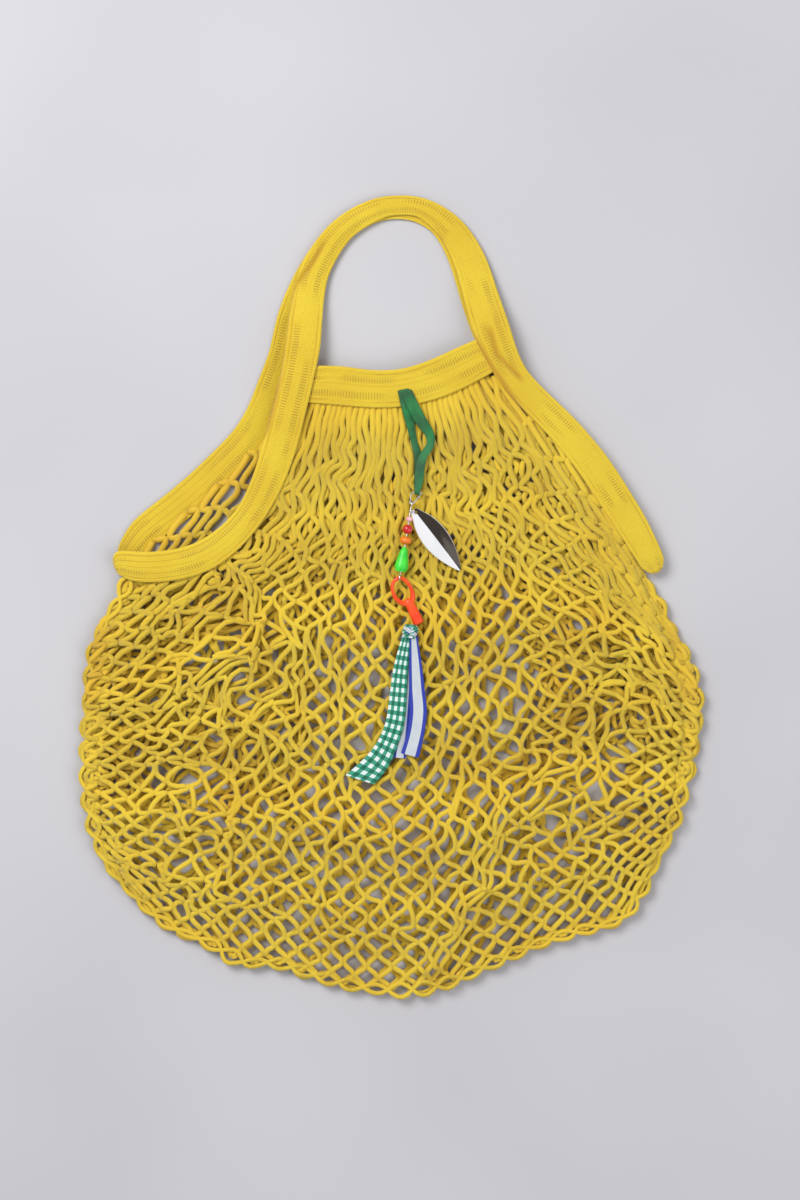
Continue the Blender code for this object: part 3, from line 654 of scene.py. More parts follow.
class Effects:
    """The node groups that several finishes share, each built once."""

    def __init__(self) -> None:
        """Builds the groups."""
        self.stitches = self.build_stitches()
        self.unevenness = self.build_unevenness()
        self.weave = self.build_weave()

    @staticmethod
    def start(name: str, inputs: str, outputs: str) -> tuple[Graph, list[Socket], Any]:
        """Starts a shader group with a vector and two numbers as its inputs.

        Args:
            name: The group's name.
            inputs: The inputs' names, parted by spaces, the vector's first.
            outputs: The names of the outputs, which are numbers.

        Returns:
            The graph, what comes in, and the sockets of what goes out.
        """
        group = bpy.data.node_groups.new(name, "ShaderNodeTree")
        for i, key in enumerate(inputs.split()):
            kind = "NodeSocketFloat" if i else "NodeSocketVector"
            group.interface.new_socket(key, in_out="INPUT", socket_type=kind)
        for key in outputs.split():
            group.interface.new_socket(key, in_out="OUTPUT", socket_type="NodeSocketFloat")
        given = group.nodes.new("NodeGroupInput").outputs[:3]
        return Graph(group), given, group.nodes.new("NodeGroupOutput").inputs

    def build_stitches(self) -> bpy.types.NodeTree:
        """Rows of knitted V stitches on a map whose X runs along the cloth and Y across it."""
        graph, (chart, along, across), made = self.start("knit_stitches", "Map Along Across", "Height")
        x, y, _ = graph.parts(chart)
        from_middle = graph.off(graph.math("FRACT", graph.times(y, across)), 0.5)
        slanted = graph.math("ADD", graph.times(x, along), from_middle)
        wave = graph.math("SINE", graph.times(slanted, FULL_TURN))
        body = graph.remap(from_middle, 0.5, 0.28)
        spine = graph.remap(from_middle, 0.0, 0.12, 0.45)
        lobes = graph.times(graph.math("MULTIPLY_ADD", wave, 0.35, 0.65), body)
        graph.feed(made["Height"], graph.times(lobes, spine))
        return graph.tree

    def build_unevenness(self) -> bpy.types.NodeTree:
        """Slow and fine changes over a surface, as dyed yarn or handled plastic has."""
        graph, (place, slow, fast), made = self.start("unevenness", "Place Slow Fast", "Slow Fine")
        for name, scale, detail in (("Slow", slow, 2.0), ("Fine", fast, 4.0)):
            graph.feed(made[name], graph.remap(graph.noise(scale, detail, place), 0.3, 0.7))
        return graph.tree

    def build_weave(self) -> bpy.types.NodeTree:
        """Plain woven ribs: threads that pass over and under on a map in metres."""
        graph, (chart, along, across), made = self.start("ribbon_weave", "Map Along Across", "Height")
        x, y, _ = graph.parts(chart)
        warp = graph.math("SINE", graph.times(y, across))
        weft = graph.math("SINE", graph.times(x, along))
        graph.feed(made["Height"], graph.math("MULTIPLY_ADD", graph.times(warp, weft), 0.5, 0.5))
        return graph.tree


class Surface(Graph):
    """The graph of a material, with the shared groups and the material's own unevenness."""

    def __init__(self, tree: bpy.types.NodeTree, effects: Effects, slow: float, fast: float) -> None:
        """Places the unevenness.

        Args:
            tree: The material's node tree.
            effects: The shared node groups.
            slow: How often a metre its slow changes come.
            fast: How often a metre its fine changes come.
        """
        super().__init__(tree)
        self.effects = effects
        uneven = self.node("Group", node_tree=effects.unevenness, Place=self.place(), Slow=slow, Fast=fast)
        self.slow, self.fine = uneven.outputs[:]

    def pattern(self, group: bpy.types.NodeTree, chart: Any, along: float, across: float) -> Socket:
        """The height of a stitch or weave group."""
        return self.node("Group", node_tree=group, Map=chart, Along=along, Across=across).outputs["Height"]

    def side(self) -> Socket:
        """The share of the way across a strip, from -1 to 1."""
        return self.parts(self.uv("Share"))[1]


@dataclass(frozen=True)
class Finish:
    """What every finish has: its name, its constants, its unevenness, its roughness and its relief."""

    name: str
    metallic: float = 0.0
    sheen: float = 0.0
    coat: float = 0.0
    anisotropic: float = 0.0
    slow: float = 160.0
    fast: float = 1300.0
    rough: tuple[float, float] = (0.3, 0.5)
    depth: float = 0.1 * MM

    def start(self, effects: Effects) -> tuple[Material, Surface, Any]:
        """Makes the material with its constant values.

        Args:
            effects: The shared node groups.

        Returns:
            The material, its graph and the inputs of its Principled node.
        """
        look = bpy.data.materials.new(self.name)
        look.use_nodes = True
        inputs = look.node_tree.nodes["Principled BSDF"].inputs
        inputs["Roughness"].default_value = self.rough[0]
        inputs["Metallic"].default_value = self.metallic
        inputs["Sheen Weight"].default_value = self.sheen
        inputs["Coat Weight"].default_value = self.coat
        inputs["Anisotropic"].default_value = self.anisotropic
        return look, Surface(look.node_tree, effects, self.slow, self.fast), inputs

    def build(self, effects: Effects) -> Material:
        """Builds the material.

        Args:
            effects: The shared node groups.

        Returns:
            The material.
        """
        look, graph, inputs = self.start(effects)
        colour, height = self.surface(graph)
        graph.feed(inputs["Base Color"], colour)
        graph.feed(inputs["Roughness"], graph.remap(self.dullness(graph), 0.0, 1.0, *self.rough))
        bump = graph.node("Bump", Height=height, Distance=self.depth, Strength=1.0)
        graph.feed(inputs["Normal"], bump.outputs[0])
        return look

    def dullness(self, graph: Surface) -> Socket:
        """What the roughness follows."""
        return graph.fine


@dataclass(frozen=True)
class CottonKnit(Finish):
    """Dyed knitted cotton, as netting strands, with painted shade in the stitches' low parts."""

    sheen: float = 0.2
    slow: float = 22.0
    fast: float = 420.0
    rough: tuple[float, float] = (0.82, 0.95)
    bright: Colour = srgb(222, 192, 50)
    deep: Colour = srgb(212, 178, 42)
    painted_shade: Colour = srgb(192, 146, 28)
    along: float = 120.0
    across: float = 3.0
    recess_shade: float = 0.12

    def chart(self, graph: Surface) -> Socket:
        """The sweep's map, turned so that its X runs along the strand."""
        x, y, _ = graph.parts(graph.uv("UVMap"))
        return graph.node("CombineXYZ", X=y, Y=x).outputs[0]

    def surface(self, graph: Surface) -> tuple[Socket, Socket]:
        """The stitches in their colours, with painted shade where they sink.

        Args:
            graph: The material's graph.

        Returns:
            The colour and the height.
        """
        height = graph.pattern(graph.effects.stitches, self.chart(graph), self.along, self.across)
        base = graph.mix(graph.slow, self.bright, self.deep)
        # painted shade: the low parts of each stitch darken towards the shaded tone
        colour = graph.mix(graph.remap(height, 0.0, 0.55, self.recess_shade, 0.0), base, self.painted_shade)
        colour, height = self.sewn(graph, colour, height)
        return colour, graph.math("MULTIPLY_ADD", graph.fine, 0.35, height)

    def sewn(self, graph: Surface, colour: Socket, height: Socket) -> tuple[Socket, Socket]:
        """The marks of a tape, darkened with painted shade: none in a strand."""
        return colour, height


@dataclass(frozen=True)
class KnittedTape(CottonKnit):
    """Knitted tape with rows of fine ticks, rolled edges, creases, and pleats at its left tip, all darkened with
    painted shade.
    """

    depth: float = 0.3 * MM
    bright: Colour = srgb(227, 199, 48)
    deep: Colour = srgb(218, 186, 40)
    painted_shade: Colour = srgb(186, 136, 20)
    along: float = 560.0
    across: float = 620.0
    recess_shade: float = 0.3
    tick_row: float = 0.42
    ticks: float = 520.0
    roll: float = 0.76
    pleat: float = 0.19

    def chart(self, graph: Surface) -> Socket:
        """The strip's map in metres."""
        return graph.uv("Metres")

    def sewn(self, graph: Surface, colour: Socket, height: Socket) -> tuple[Socket, Socket]:
        """Adds the ticks and the sunken lines, with painted shade in them.

        Args:
            graph: The material's graph.
            colour: The knit's colour.
            height: The knit's height.

        Returns:
            The colour and the height.
        """
        run, side, _ = graph.parts(graph.uv("Share"))
        from_middle = graph.math("ABSOLUTE", side)
        on_row = graph.remap(graph.off(from_middle, self.tick_row), 0.14, 0.2, 1.0, 0.0)
        metres = graph.parts(graph.uv("Metres"))[0]
        on_tick = graph.remap(graph.math("PINGPONG", graph.times(metres, self.ticks), 0.5), 0.08, 0.2, 1.0, 0.0)
        here = graph.remap(graph.noise(26.0, 1.0), 0.4, 0.52)
        ticks = graph.times(graph.times(on_row, on_tick), here)
        on_edge = graph.remap(graph.off(from_middle, self.roll), 0.01, 0.06, 0.55, 0.0)
        rolled = graph.times(on_edge, graph.remap(graph.noise(34.0, 1.0), 0.4, 0.6, 0.3))
        fold = graph.math("PINGPONG", graph.math("ADD", side, 0.05), self.pleat)
        pleated = graph.times(graph.remap(fold, 0.0, 0.04, 0.6, 0.0), graph.remap(run, 0.05, 0.24, 1.0, 0.0))
        creased = graph.parts(graph.uv("Crease"))[0]
        sunk = graph.math("MAXIMUM", creased, graph.math("MAXIMUM", rolled, pleated))
        # painted shade: the ticks, creases, rolled edges and pleats darken towards the shaded tone
        painted_shade_mask = graph.math("MAXIMUM", graph.times(ticks, 0.6), sunk)
        low = graph.math("ADD", graph.times(ticks, 1.2), sunk)
        return graph.mix(painted_shade_mask, colour, self.painted_shade), graph.math("SUBTRACT", height, low)


@dataclass(frozen=True)
class Ribbon(Finish):
    """What the woven ribbons have: threads along and across."""

    weft: float = 9000.0
    warp: float = 8000.0

    def threads(self, graph: Surface) -> Socket:
        """The height of the threads."""
        return graph.pattern(graph.effects.weave, graph.uv("Metres"), self.weft, self.warp)


@dataclass(frozen=True)
class Satin(Ribbon):
    """Smooth dyed satin ribbon with bound edges."""

    slow: float = 90.0
    fast: float = 1500.0
    rough: tuple[float, float] = (0.34, 0.5)
    depth: float = 0.06 * MM
    warp: float = 16000.0
    colour: Colour = srgb(8, 120, 54)
    shade: Colour = srgb(3, 76, 36)

    def surface(self, graph: Surface) -> tuple[Socket, Socket]:
        """The satin, darker and thicker at its bound edges.

        Args:
            graph: The material's graph.

        Returns:
            The colour and the height.
        """
        edge = graph.remap(graph.math("ABSOLUTE", graph.side()), 0.78, 0.9)
        tone = graph.mix(graph.slow, self.colour, self.shade)
        height = graph.math("ADD", self.threads(graph), graph.times(edge, 2.0))
        return graph.mix(graph.times(edge, 0.6), tone, self.shade), height


@dataclass(frozen=True)
class Gingham(Ribbon):
    """Checked cotton ribbon: two sets of stripes that darken where they cross."""

    slow: float = 120.0
    fast: float = 1400.0
    rough: tuple[float, float] = (0.7, 0.85)
    depth: float = 0.12 * MM
    weft: float = 8000.0
    white: Colour = srgb(226, 236, 236)
    half: Colour = srgb(54, 152, 124)
    full: Colour = srgb(4, 98, 72)
    columns: float = 3.0
    checks_per_metre: float = 156.0

    def surface(self, graph: Surface) -> tuple[Socket, Socket]:
        """The checks.

        Args:
            graph: The material's graph.

        Returns:
            The colour and the height.
        """
        metres = graph.parts(graph.uv("Metres"))[0]
        bars = graph.times(metres, self.checks_per_metre)
        lanes = graph.math("MULTIPLY_ADD", graph.side(), self.columns / 2, 0.25)
        on_bar, on_lane = (
            graph.remap(graph.math("PINGPONG", graph.math("FRACT", stripes), 0.5), 0.23, 0.27)
            for stripes in (bars, lanes))
        either = graph.times(graph.math("ADD", on_bar, on_lane), 0.5)
        colour = graph.mix(graph.remap(either, 0.0, 0.5), self.white, self.half)
        colour = graph.mix(graph.remap(either, 0.5, 1.0), colour, self.full)
        return graph.mix(graph.times(graph.fine, 0.16), colour, self.full), self.threads(graph)

    def dullness(self, graph: Surface) -> Socket:
        """What the roughness follows."""
        return graph.slow


@dataclass(frozen=True)
class EdgedRibbon(Ribbon):
    """White woven ribbon with a coloured stripe down each edge."""

    slow: float = 140.0
    fast: float = 1600.0
    rough: tuple[float, float] = (0.55, 0.75)
    warp: float = 5000.0
    white: Colour = srgb(200, 206, 208)
    shade: Colour = srgb(176, 184, 200)
    edge: Colour = srgb(28, 48, 160)

    def surface(self, graph: Surface) -> tuple[Socket, Socket]:
        """The ribbed white ground between its stripes.

        Args:
            graph: The material's graph.

        Returns:
            The colour and the height.
        """
        side = graph.side()
        on_edge = graph.remap(graph.math("ABSOLUTE", side), 0.54, 0.6)
        rib = graph.math("SINE", graph.times(side, 40.0))
        pale = graph.mix(graph.remap(rib, -1.0, 1.0, 0.0, 0.5), self.white, self.shade)
        pale = graph.mix(graph.times(graph.slow, 0.35), pale, self.shade)
        return graph.mix(on_edge, pale, self.edge), graph.math("MULTIPLY_ADD", rib, 0.4, self.threads(graph))


@dataclass(frozen=True)
class Moulded(Finish):
    """Glossy plastic or glass bead material with faint swirls and handling marks."""

    rough: tuple[float, float] = (0.12, 0.3)
    depth: float = 0.02 * MM
    colour: Colour = srgb(250, 84, 30)
    shade: Colour = srgb(236, 62, 20)

    def surface(self, graph: Surface) -> tuple[Socket, Socket]:
        """The colour and the height of the plastic."""
        return graph.mix(graph.slow, self.colour, self.shade), graph.fine


@dataclass(frozen=True)
class BrightMetal(Finish):
    """Plated metal with fine polishing lines and dull spots, and on the blade a painted dark reflection over its
    right half.
    """

    slow: float = 70.0
    fast: float = 900.0
    depth: float = 0.01 * MM
    colour: Colour = srgb(226, 226, 230)
    shade: Colour = srgb(176, 176, 184)
    painted_reflection: Colour | None = None

    def surface(self, graph: Surface) -> tuple[Socket, Socket]:
        """The plating, and the painted reflection that darkens the blade's right half.

        Args:
            graph: The material's graph.

        Returns:
            The colour and the height.
        """
        colour = graph.mix(graph.times(graph.slow, 0.5), self.colour, self.shade)
        if self.painted_reflection:
            side = graph.side()
            # painted reflection: past the blade's middle it darkens as if mirroring a dark room, and a light rim
            # stays at its edge
            on_painted_reflection = graph.times(graph.remap(side, -0.02, 0.05), graph.remap(side, 0.91, 0.97, 1.0, 0.0))
            colour = graph.mix(on_painted_reflection, colour, self.painted_reflection)
        return colour, graph.fine


STRAND = CottonKnit("net_strand")
# Each finish by the record's material slot, or by the layer of netting
FINISHES = {
    "cotton_tape": KnittedTape("knitted_tape"),
    "front": STRAND,
    # The netting below is a slightly deeper copy of the strand: painted shade for the layer that lies under the
    # front one.
    "back": replace(STRAND, name="net_strand_below_painted_shade", bright=srgb(222, 190, 50), deep=srgb(212, 172, 42)),
    "pink_glass": Moulded("pink_bead", coat=0.5, colour=srgb(240, 190, 198), shade=srgb(225, 150, 165),
                          rough=(0.05, 0.12)),
    "red_bead": Moulded("red_bead", coat=0.5, colour=srgb(222, 38, 34), shade=srgb(190, 18, 22)),
    "orange_bead": Moulded("orange_bead", coat=0.3, colour=srgb(240, 138, 30), shade=srgb(222, 108, 22)),
    "float_green": Moulded("green_float", colour=srgb(70, 222, 62), shade=srgb(44, 196, 50), rough=(0.3, 0.45)),
    "green_satin": Satin("green_satin", sheen=0.05, anisotropic=0.5),
    "silver_wire": BrightMetal("silver_wire", metallic=1.0, rough=(0.15, 0.3)),
    # The blade's right half takes a painted dark reflection.
    "blade_chrome": BrightMetal("plated_blade", metallic=0.35, colour=srgb(252, 252, 254),
                                shade=srgb(240, 241, 246), painted_reflection=srgb(58, 50, 44), rough=(0.05, 0.16)),
    "gingham_cotton": Gingham("gingham_ribbon", sheen=0.15),
    "white_ribbon": EdgedRibbon("edged_ribbon", sheen=0.15),
    "orange_plastic": Moulded("orange_snap", rough=(0.25, 0.42)),
}


@dataclass
class ClothStrip:
    """A strip of tape or ribbon through its sections, thickened and softly rounded."""

    name: str
    line: list[Section]
    profile: Profile
    thickness: float
    look: Material
    slot: str
    node: str
    held: str = "laid"
    rests_on: tuple[str, ...] = ()
    creased: bool = False

    def point(self, row: int, lane: int) -> Vector:
        """The strip's surface before it is creased."""
        section, (side, rise) = self.line[row], self.profile[lane]
        return section.middle + section.across() * side * section.width / 2 + section.up * rise * MM

    def crease(self, row: int, lane: int) -> float:
        """How deep the creases are there, from 0 to 1."""
        if not self.creased or not self.line[row].is_level():
            return 0.0
        place = self.point(row, lane).xy
        away = min(way_from(start, end, place).length for start, end in CREASES)
        return math.exp(-(away / CREASE_WIDTH) ** 2)

    def build(self) -> None:
        stations = [0.0]
        for a, b in zip(self.line, self.line[1:]):
            stations.append(stations[-1] + (b.middle - a.middle).length)
        length = stations[-1]
        sides = [side for side, _ in self.profile]
        bm = shaped_grid(
            len(self.line) - 1, len(sides) - 1,
            lambda row, lane: self.point(row, lane) - UP * self.crease(row, lane) * CREASE_DEPTH,
            Metres=lambda row, lane: (stations[row], sides[lane] * self.line[row].width / 2),
            Share=lambda row, lane: (stations[row] / length, sides[lane]),
            Crease=lambda row, lane: (self.crease(row, lane), 0),
        )
        obj = stands_in(piece_of(self.name, bm), self.look, self.node, self.slot, angle=80)
        thickened(obj, self.thickness)
        width = sum(s.width for s in self.line) / len(self.line)
        if width >= NARROWEST_SHEET:
            list(self.rests_on)


@dataclass
class Tapes:
    """The knitted tapes: the two handle and scoop tapes and the two mouth bands."""

    look: Material

    def __post_init__(self) -> None:
        """Lays the lines that the netting hangs from too."""
        coarse = smooth_sections(sections(FRONT_TAPE), 2)
        for i, share in enumerate(TIP_TURNS):
            heading = coarse[i].heading + (TIP_HEADING - coarse[i].heading) * share
            coarse[i] = replace(coarse[i], heading=heading)
        level = smooth_sections(coarse, FINE)
        outward = (-level[0].along(), level[-1].along())
        left, right = (turn_under(level[i], way, TIP_DROP) for i, way in zip((0, -1), outward))
        self.front = left[::-1] + level + right
        start, end = (replace(self.front[i], middle=self.front[i].middle - way * GAP, up=UP)
                      for i, way in zip((0, -1), outward))
        self.back = smooth_sections(smooth_sections([start] + sections(BACK_TAPE) + [end], 2), FINE)
        for way in outward:
            tip = max(s.middle.dot(way) for s in self.front)
            self.front = self.rounded_tip(self.front, way, tip)
            self.back = self.rounded_tip(self.back, way, tip)
        self.front_band = smooth_strip(FRONT_BAND)
        self.back_band = self.band_between_legs()

    @staticmethod
    def rounded_tip(line: list[Section], outward: Vector, tip: float) -> list[Section]:
        """Narrows a tape towards a folded tip, whose corners are round.

        Args:
            line: The tape's sections.
            outward: The direction in which the tip points.
            tip: How far it reaches in that direction.

        Returns:
            The sections, narrowed near the tip.
        """
        made = []
        for section in line:
            inward = min(max(TIP_CORNER - (tip - section.middle.dot(outward)), 0), TIP_CORNER)
            cut = TIP_CORNER - math.sqrt(TIP_CORNER ** 2 - inward ** 2)
            made.append(replace(section, width=section.width - 2 * cut))
        return made

    def band_between_legs(self) -> list[Section]:
        """Sections of the back mouth band, butted between the back tape's legs."""
        legs = [s for s in self.back if s.is_level()]
        left = min((s for s in legs if s.middle.x < 0), key=lambda s: abs(s.middle.y - BACK_BAND_LEFT))
        right = min((s for s in legs if s.middle.x > 0), key=lambda s: abs(s.middle.y - BACK_BAND_RIGHT))
        start, end = left.net_edge(-BACK_BAND_SEAM), right.net_edge(-BACK_BAND_SEAM)
        first, last = left.heading - math.pi / 2, right.heading + math.pi / 2
        shares = [step / BACK_BAND_SPANS for step in range(BACK_BAND_SPANS + 1)]
        return [Section(start.lerp(end, t), BACK_BAND_WIDTH, first + (last - first) * t) for t in shares]

    def build(self) -> None:
        """Builds the four tapes."""
        for name, line, profile, node, under, creased in (
            ("tape_back", self.back, BACK_PROFILE, "back_tape", (), False),
            ("tape_front", self.front, TAPE_PROFILE, "front_tape", ("tape_back", "net_front"), True),
            ("band_back", self.back_band, BACK_PROFILE, "back_mouth_band", (), False),
            ("band_front", self.front_band, BAND_PROFILE, "front_mouth_band", ("net_front",), False),
        ):
            ClothStrip(name, line, profile, TAPE_THICKNESS, self.look, "cotton_tape", node, "laid", under,
                       creased).build()


@dataclass
class NetLayer:
    """One layer of the knotless netting: zigzag strands that meet their neighbours side by side."""

    side: Side
    tapes: Tapes
    look: Material
    columns: int = 26
    rows: int = 22
    left_share: float = 0.22
    right_share: float = 0.16
    fall: float = 0.88
    half_width: float = 2.0 * MM
    half_height: float = 1.2 * MM
    grid: int = 40
    evening: int = 30
    scallops: int = 50
    scallop_steps: int = 5

    def __post_init__(self) -> None:
        """Lays the layer's plan."""
        self.is_front = self.side is Side.FRONT
        self.rims = [smooth_line([Vector((*row, 0)) * MM for row in rows], 4)
                     for rows in (LEFT_RIM, RIGHT_RIM, BOTTOM_RIM)]
        self.mouth = self.mouth_lines()
        self.seed = Vector((0, 0, 3.7 if self.is_front else 11.3))
        self.plan_points = self.even_plan()

    def mouth_lines(self) -> list[list[Vector]]:
        """The lines that the layer is sewn to: left scoop, mouth band, right scoop."""
        tapes = self.tapes
        tape, band, left_top, right_top = (
            (tapes.front, tapes.front_band, 118 * MM, 156 * MM) if self.is_front
            else (tapes.back, tapes.back_band, 122 * MM, 136 * MM))
        level = [s for s in tape if s.is_level()]
        middle = [s.net_edge(LAP) for s in band if BAND_SEWN[0] < s.middle.x < BAND_SEWN[1]]
        left = [s.net_edge(LAP) for s in level if s.middle.x < 0 and s.middle.y < left_top]
        right = [s.net_edge(LAP) for s in level if s.middle.x > 0 and s.middle.y < right_top]
        left = [self.rims[0][0]] + left[BESIDE_TIP:] + [middle[0]]
        right = [middle[-1]] + right[:-BESIDE_TIP] + [self.rims[1][0]]
        return [[Vector((*p.xy, 0)) for p in line] for line in (left, middle, right)]

    def on_mouth(self, u: float) -> Vector:
        """The point of the sewn edge at share u of the columns."""
        left, middle, right = self.mouth
        if u < self.left_share:
            return share_of(left, u / self.left_share)
        if u > 1 - self.right_share:
            return share_of(right, (u - 1 + self.right_share) / self.right_share)
        return share_of(middle, (u - self.left_share) / (1 - self.left_share - self.right_share))

    def stretched(self, u: float, v: float) -> Vector:
        """A point stretched between the sewn edge, the rims and the bottom."""
        left, right, bottom = self.rims
        side = share_of(left, v).lerp(share_of(right, v), u)
        down = self.on_mouth(u).lerp(share_of(bottom, u), v)
        return side + down - left[0].lerp(right[0], u).lerp(bottom[0].lerp(bottom[-1], u), v)

    def even_plan(self) -> dict[tuple[int, int], Vector]:
        """A grid of plan points whose cells have evened out, by column and row."""
        bm = bmesh.new()
        bmesh.ops.create_grid(bm, x_segments=self.grid, y_segments=self.grid, size=0.5)
        keys = {}
        inner = []
        for vert in bm.verts:
            u, v = vert.co.x + 0.5, 0.5 - vert.co.y
            keys[vert] = (round(u * self.grid), round(v * self.grid))
            vert.co = self.stretched(u, v ** self.fall)
            if 0.001 < u < 0.999 and 0.001 < v < 0.999:
                inner.append(vert)
        for _ in range(self.evening):
            bmesh.ops.smooth_vert(bm, verts=inner, factor=0.5, use_axis_x=True, use_axis_y=True)
        made = {key: vert.co.copy() for vert, key in keys.items()}
        bm.free()
        return made

    def plan(self, u: float, v: float) -> Vector:
        """The evened plan at any share of columns and rows."""
        x, y = min(max(u, 0), 1) * self.grid, min(max(v, 0), 1) * self.grid
        i, j = min(int(x), self.grid - 1), min(int(y), self.grid - 1)
        top = self.plan_points[i, j].lerp(self.plan_points[i + 1, j], x - i)
        low = self.plan_points[i, j + 1].lerp(self.plan_points[i + 1, j + 1], x - i)
        return top.lerp(low, y - j)

    @staticmethod
    def restlessness(place: Vector) -> float:
        """How restless the net lies at a point."""
        found = 0.4
        for row in CRUMPLES:
            away = (Vector((row.x, row.y)) * MM - place.xy).length / (row.reach * MM)
            found += row.share * math.exp(-away * away)
        return min(found, 1.2)

    @staticmethod
    def calm_under_charm(place: Vector) -> float:
        """0 under the charm, where the net is pressed flat, and 1 away from it."""
        beside = abs(place.x - 6 * MM) / (38 * MM)
        return ease(beside * 1.2 - 0.2) if -150 * MM < place.y < 150 * MM else 1.0

    def folded(self, place: Vector) -> tuple[Vector, float]:
        """Draws a point towards the folds near it.

        Args:
            place: A point in plan.

        Returns:
            The moved point, and how far the folds lift it.
        """
        lift, moved = 0.0, place.copy()
        for fold in FOLDS if self.is_front else ():
            away = way_from(Vector((fold.x0, fold.y0)) * MM, Vector((fold.x1, fold.y1)) * MM, place.xy)
            near, wide = (math.exp(-(away.length / (size * fold.spread * MM)) ** 2) for size in (1, 1.6))
            moved -= Vector((*away, 0)) * fold.pull * wide
            lift = max(lift, fold.rise * MM * near)
        return moved, lift

    def sway(self, place: Vector, wave: Wave, seeds: int) -> Vector:
        """How far a wave pushes a point sideways."""
        push = noise.noise_vector(place * wave.often + self.seed * seeds)
        return Vector((push.x, push.y, 0)) * wave.reach * MM

    def point(self, u: float, v: float) -> Vector:
        """A point of the draped layer.

        Args:
            u: Share of the columns, left to right.
            v: Share of the rows, mouth to bottom.

        Returns:
            The point in space.
        """
        place, lift = self.folded(self.plan(u, v))
        inside = ease(max(min(1, 7 * u, 7 * (1 - u), 9 * v, 7 * (1 - v)), 0))
        rest = self.restlessness(place)
        gather = noise.noise(place * GATHER_WAVE.often + self.seed) * GATHER_WAVE.reach * MM
        slow = self.sway(place, SLOW_WAVE, 1) * rest * inside
        quick = self.sway(place, QUICK_WAVE, 2) * (0.4 + rest) * inside
        place = place + slow + Vector((gather * (1 - ease((v - 0.05) / 0.3)) * inside, 0, 0)) + quick
        wave = noise.noise(place * RISE_WAVE.often + self.seed * 3) * RISE_WAVE.reach * MM
        wave *= self.calm_under_charm(place) * inside
        settled = ease((v * 13 - 1) / 1.5)
        full = (FRONT_LAYER - GAP + lift * settled + wave * (0.5 + rest) if self.is_front
                else self.half_height + STACK * (1 - settled) * 0.8 + abs(wave))
        shoulder = ease(min(1, *(self.columns * off for off in (u, 1 - u, 1 - v))))
        place.z = NET_RIM + (full - NET_RIM) * shoulder
        return place

    def strand(self, column: float, lean: int, ply: Any = None) -> Line:
        """One strand that zigzags down the layer and meets its neighbours side by side at the junctions.

        Args:
            column: The column where it starts at the mouth.
            lean: 1 where it starts towards the right, -1 towards the left.
            ply: The row of the plies' table that it belongs to.

        Returns:
            Its points, each with the strand's size there.
        """
        node_rows = 2 * self.rows
        first, last = 0, node_rows
        if ply:
            first, last = ply.top, ply.end + round(7 * noise.noise(Vector((column * 0.8, lean, ply.lift))))
        near = (column + lean * 0.25) / self.columns
        made = []
        for step in range(first * len(SWINGS), last * len(SWINGS) + 1):
            row, part = divmod(step, len(SWINGS))
            t, swing = SWINGS[part]
            v = (row + t) / node_rows
            spread = (self.point(near + NEAR, v) - self.point(near - NEAR, v)).xy.length
            width = spread / (2 * NEAR) / self.columns
            gathered = 1 - ease(v / GATHERED)
            size = min(1.0, max(0.74, width / (4.0 * self.half_width))) + 0.25 * gathered
            apart = (KISS + GATHERED_KISS * gathered) * self.half_width * size
            kiss = min(WIDEST_KISS, apart / max(width, 1 * MM))
            turned = swing if row % 2 == 0 else 1 - swing
            across = column + lean * (kiss + (0.5 - 2 * kiss) * turned)
            place = self.point(max(0, min(across / self.columns, 1)), v)
            slack = math.sin(math.pi * t) * self.restlessness(place)
            stray = noise.noise_vector(Vector((column * 1.7 + lean, row * 2.3, 0)) + self.seed)
            place = place + Vector((stray.x, stray.y, 0.35 * stray.z)) * slack * WANDER
            place.z += lean * CROSSING * math.cos(math.pi * (row + t) / 2)
            if ply:
                done = step / len(SWINGS)
                hidden = min(1, (done - first) / 3 if first else 1, (last - done) / 3)
                place.z += (ply.lift - SUNK * (1 - hidden)) * MM
            place.z = max(place.z, self.half_height * size)
            made.append((place, size))
        return made

    def border(self, bulge: int) -> Line:
        """A strand that runs round the layer's rim in uneven scallops.

        Args:
            bulge: 1 for scallops that bulge outwards, -1 for the ones inside them.

        Returns:
            Its points, each with the strand's size there.
        """
        left, right, bottom = self.rims
        path = left + bottom[1:] + right[::-1][1:]
        middle = Vector((0, -120 * MM, 0))
        steps = self.scallops * self.scallop_steps
        made = []
        for step in range(steps + 1):
            place = share_of(path, step / steps)
            beyond = (place - middle).normalized()
            uneven = noise.noise(place * RIM_WAVE.often + self.seed)
            arch = bulge * abs(math.sin(math.pi * step / self.scallop_steps))
            place = place + beyond * (arch * RIM_WAVE.reach * (1 + uneven) - 1.0) * MM
            rim = NET_RIM + (1.4 if self.is_front else -1.4) * MM + uneven * MM
            place.z = max(rim, self.half_height)
            made.append((place, 0.85))
        return made

    def build(self) -> None:
        lines = [self.strand(column, 1) for column in range(self.columns)]
        lines += [self.strand(column, -1) for column in range(1, self.columns + 1)]
        for ply in PLIES:
            if ply.side == self.side.value:
                for column in range(ply.first, ply.last):
                    lines += [self.strand(column + 0.5, lean, ply) for lean in (1, -1)]
        lines += [self.border(1), self.border(-1)]
        obj = tube(f"net_{self.side.value}", lines, oval(self.half_width, self.half_height, 6))
        stands_in(obj, self.look, "net_body", "cotton_net", angle=180)


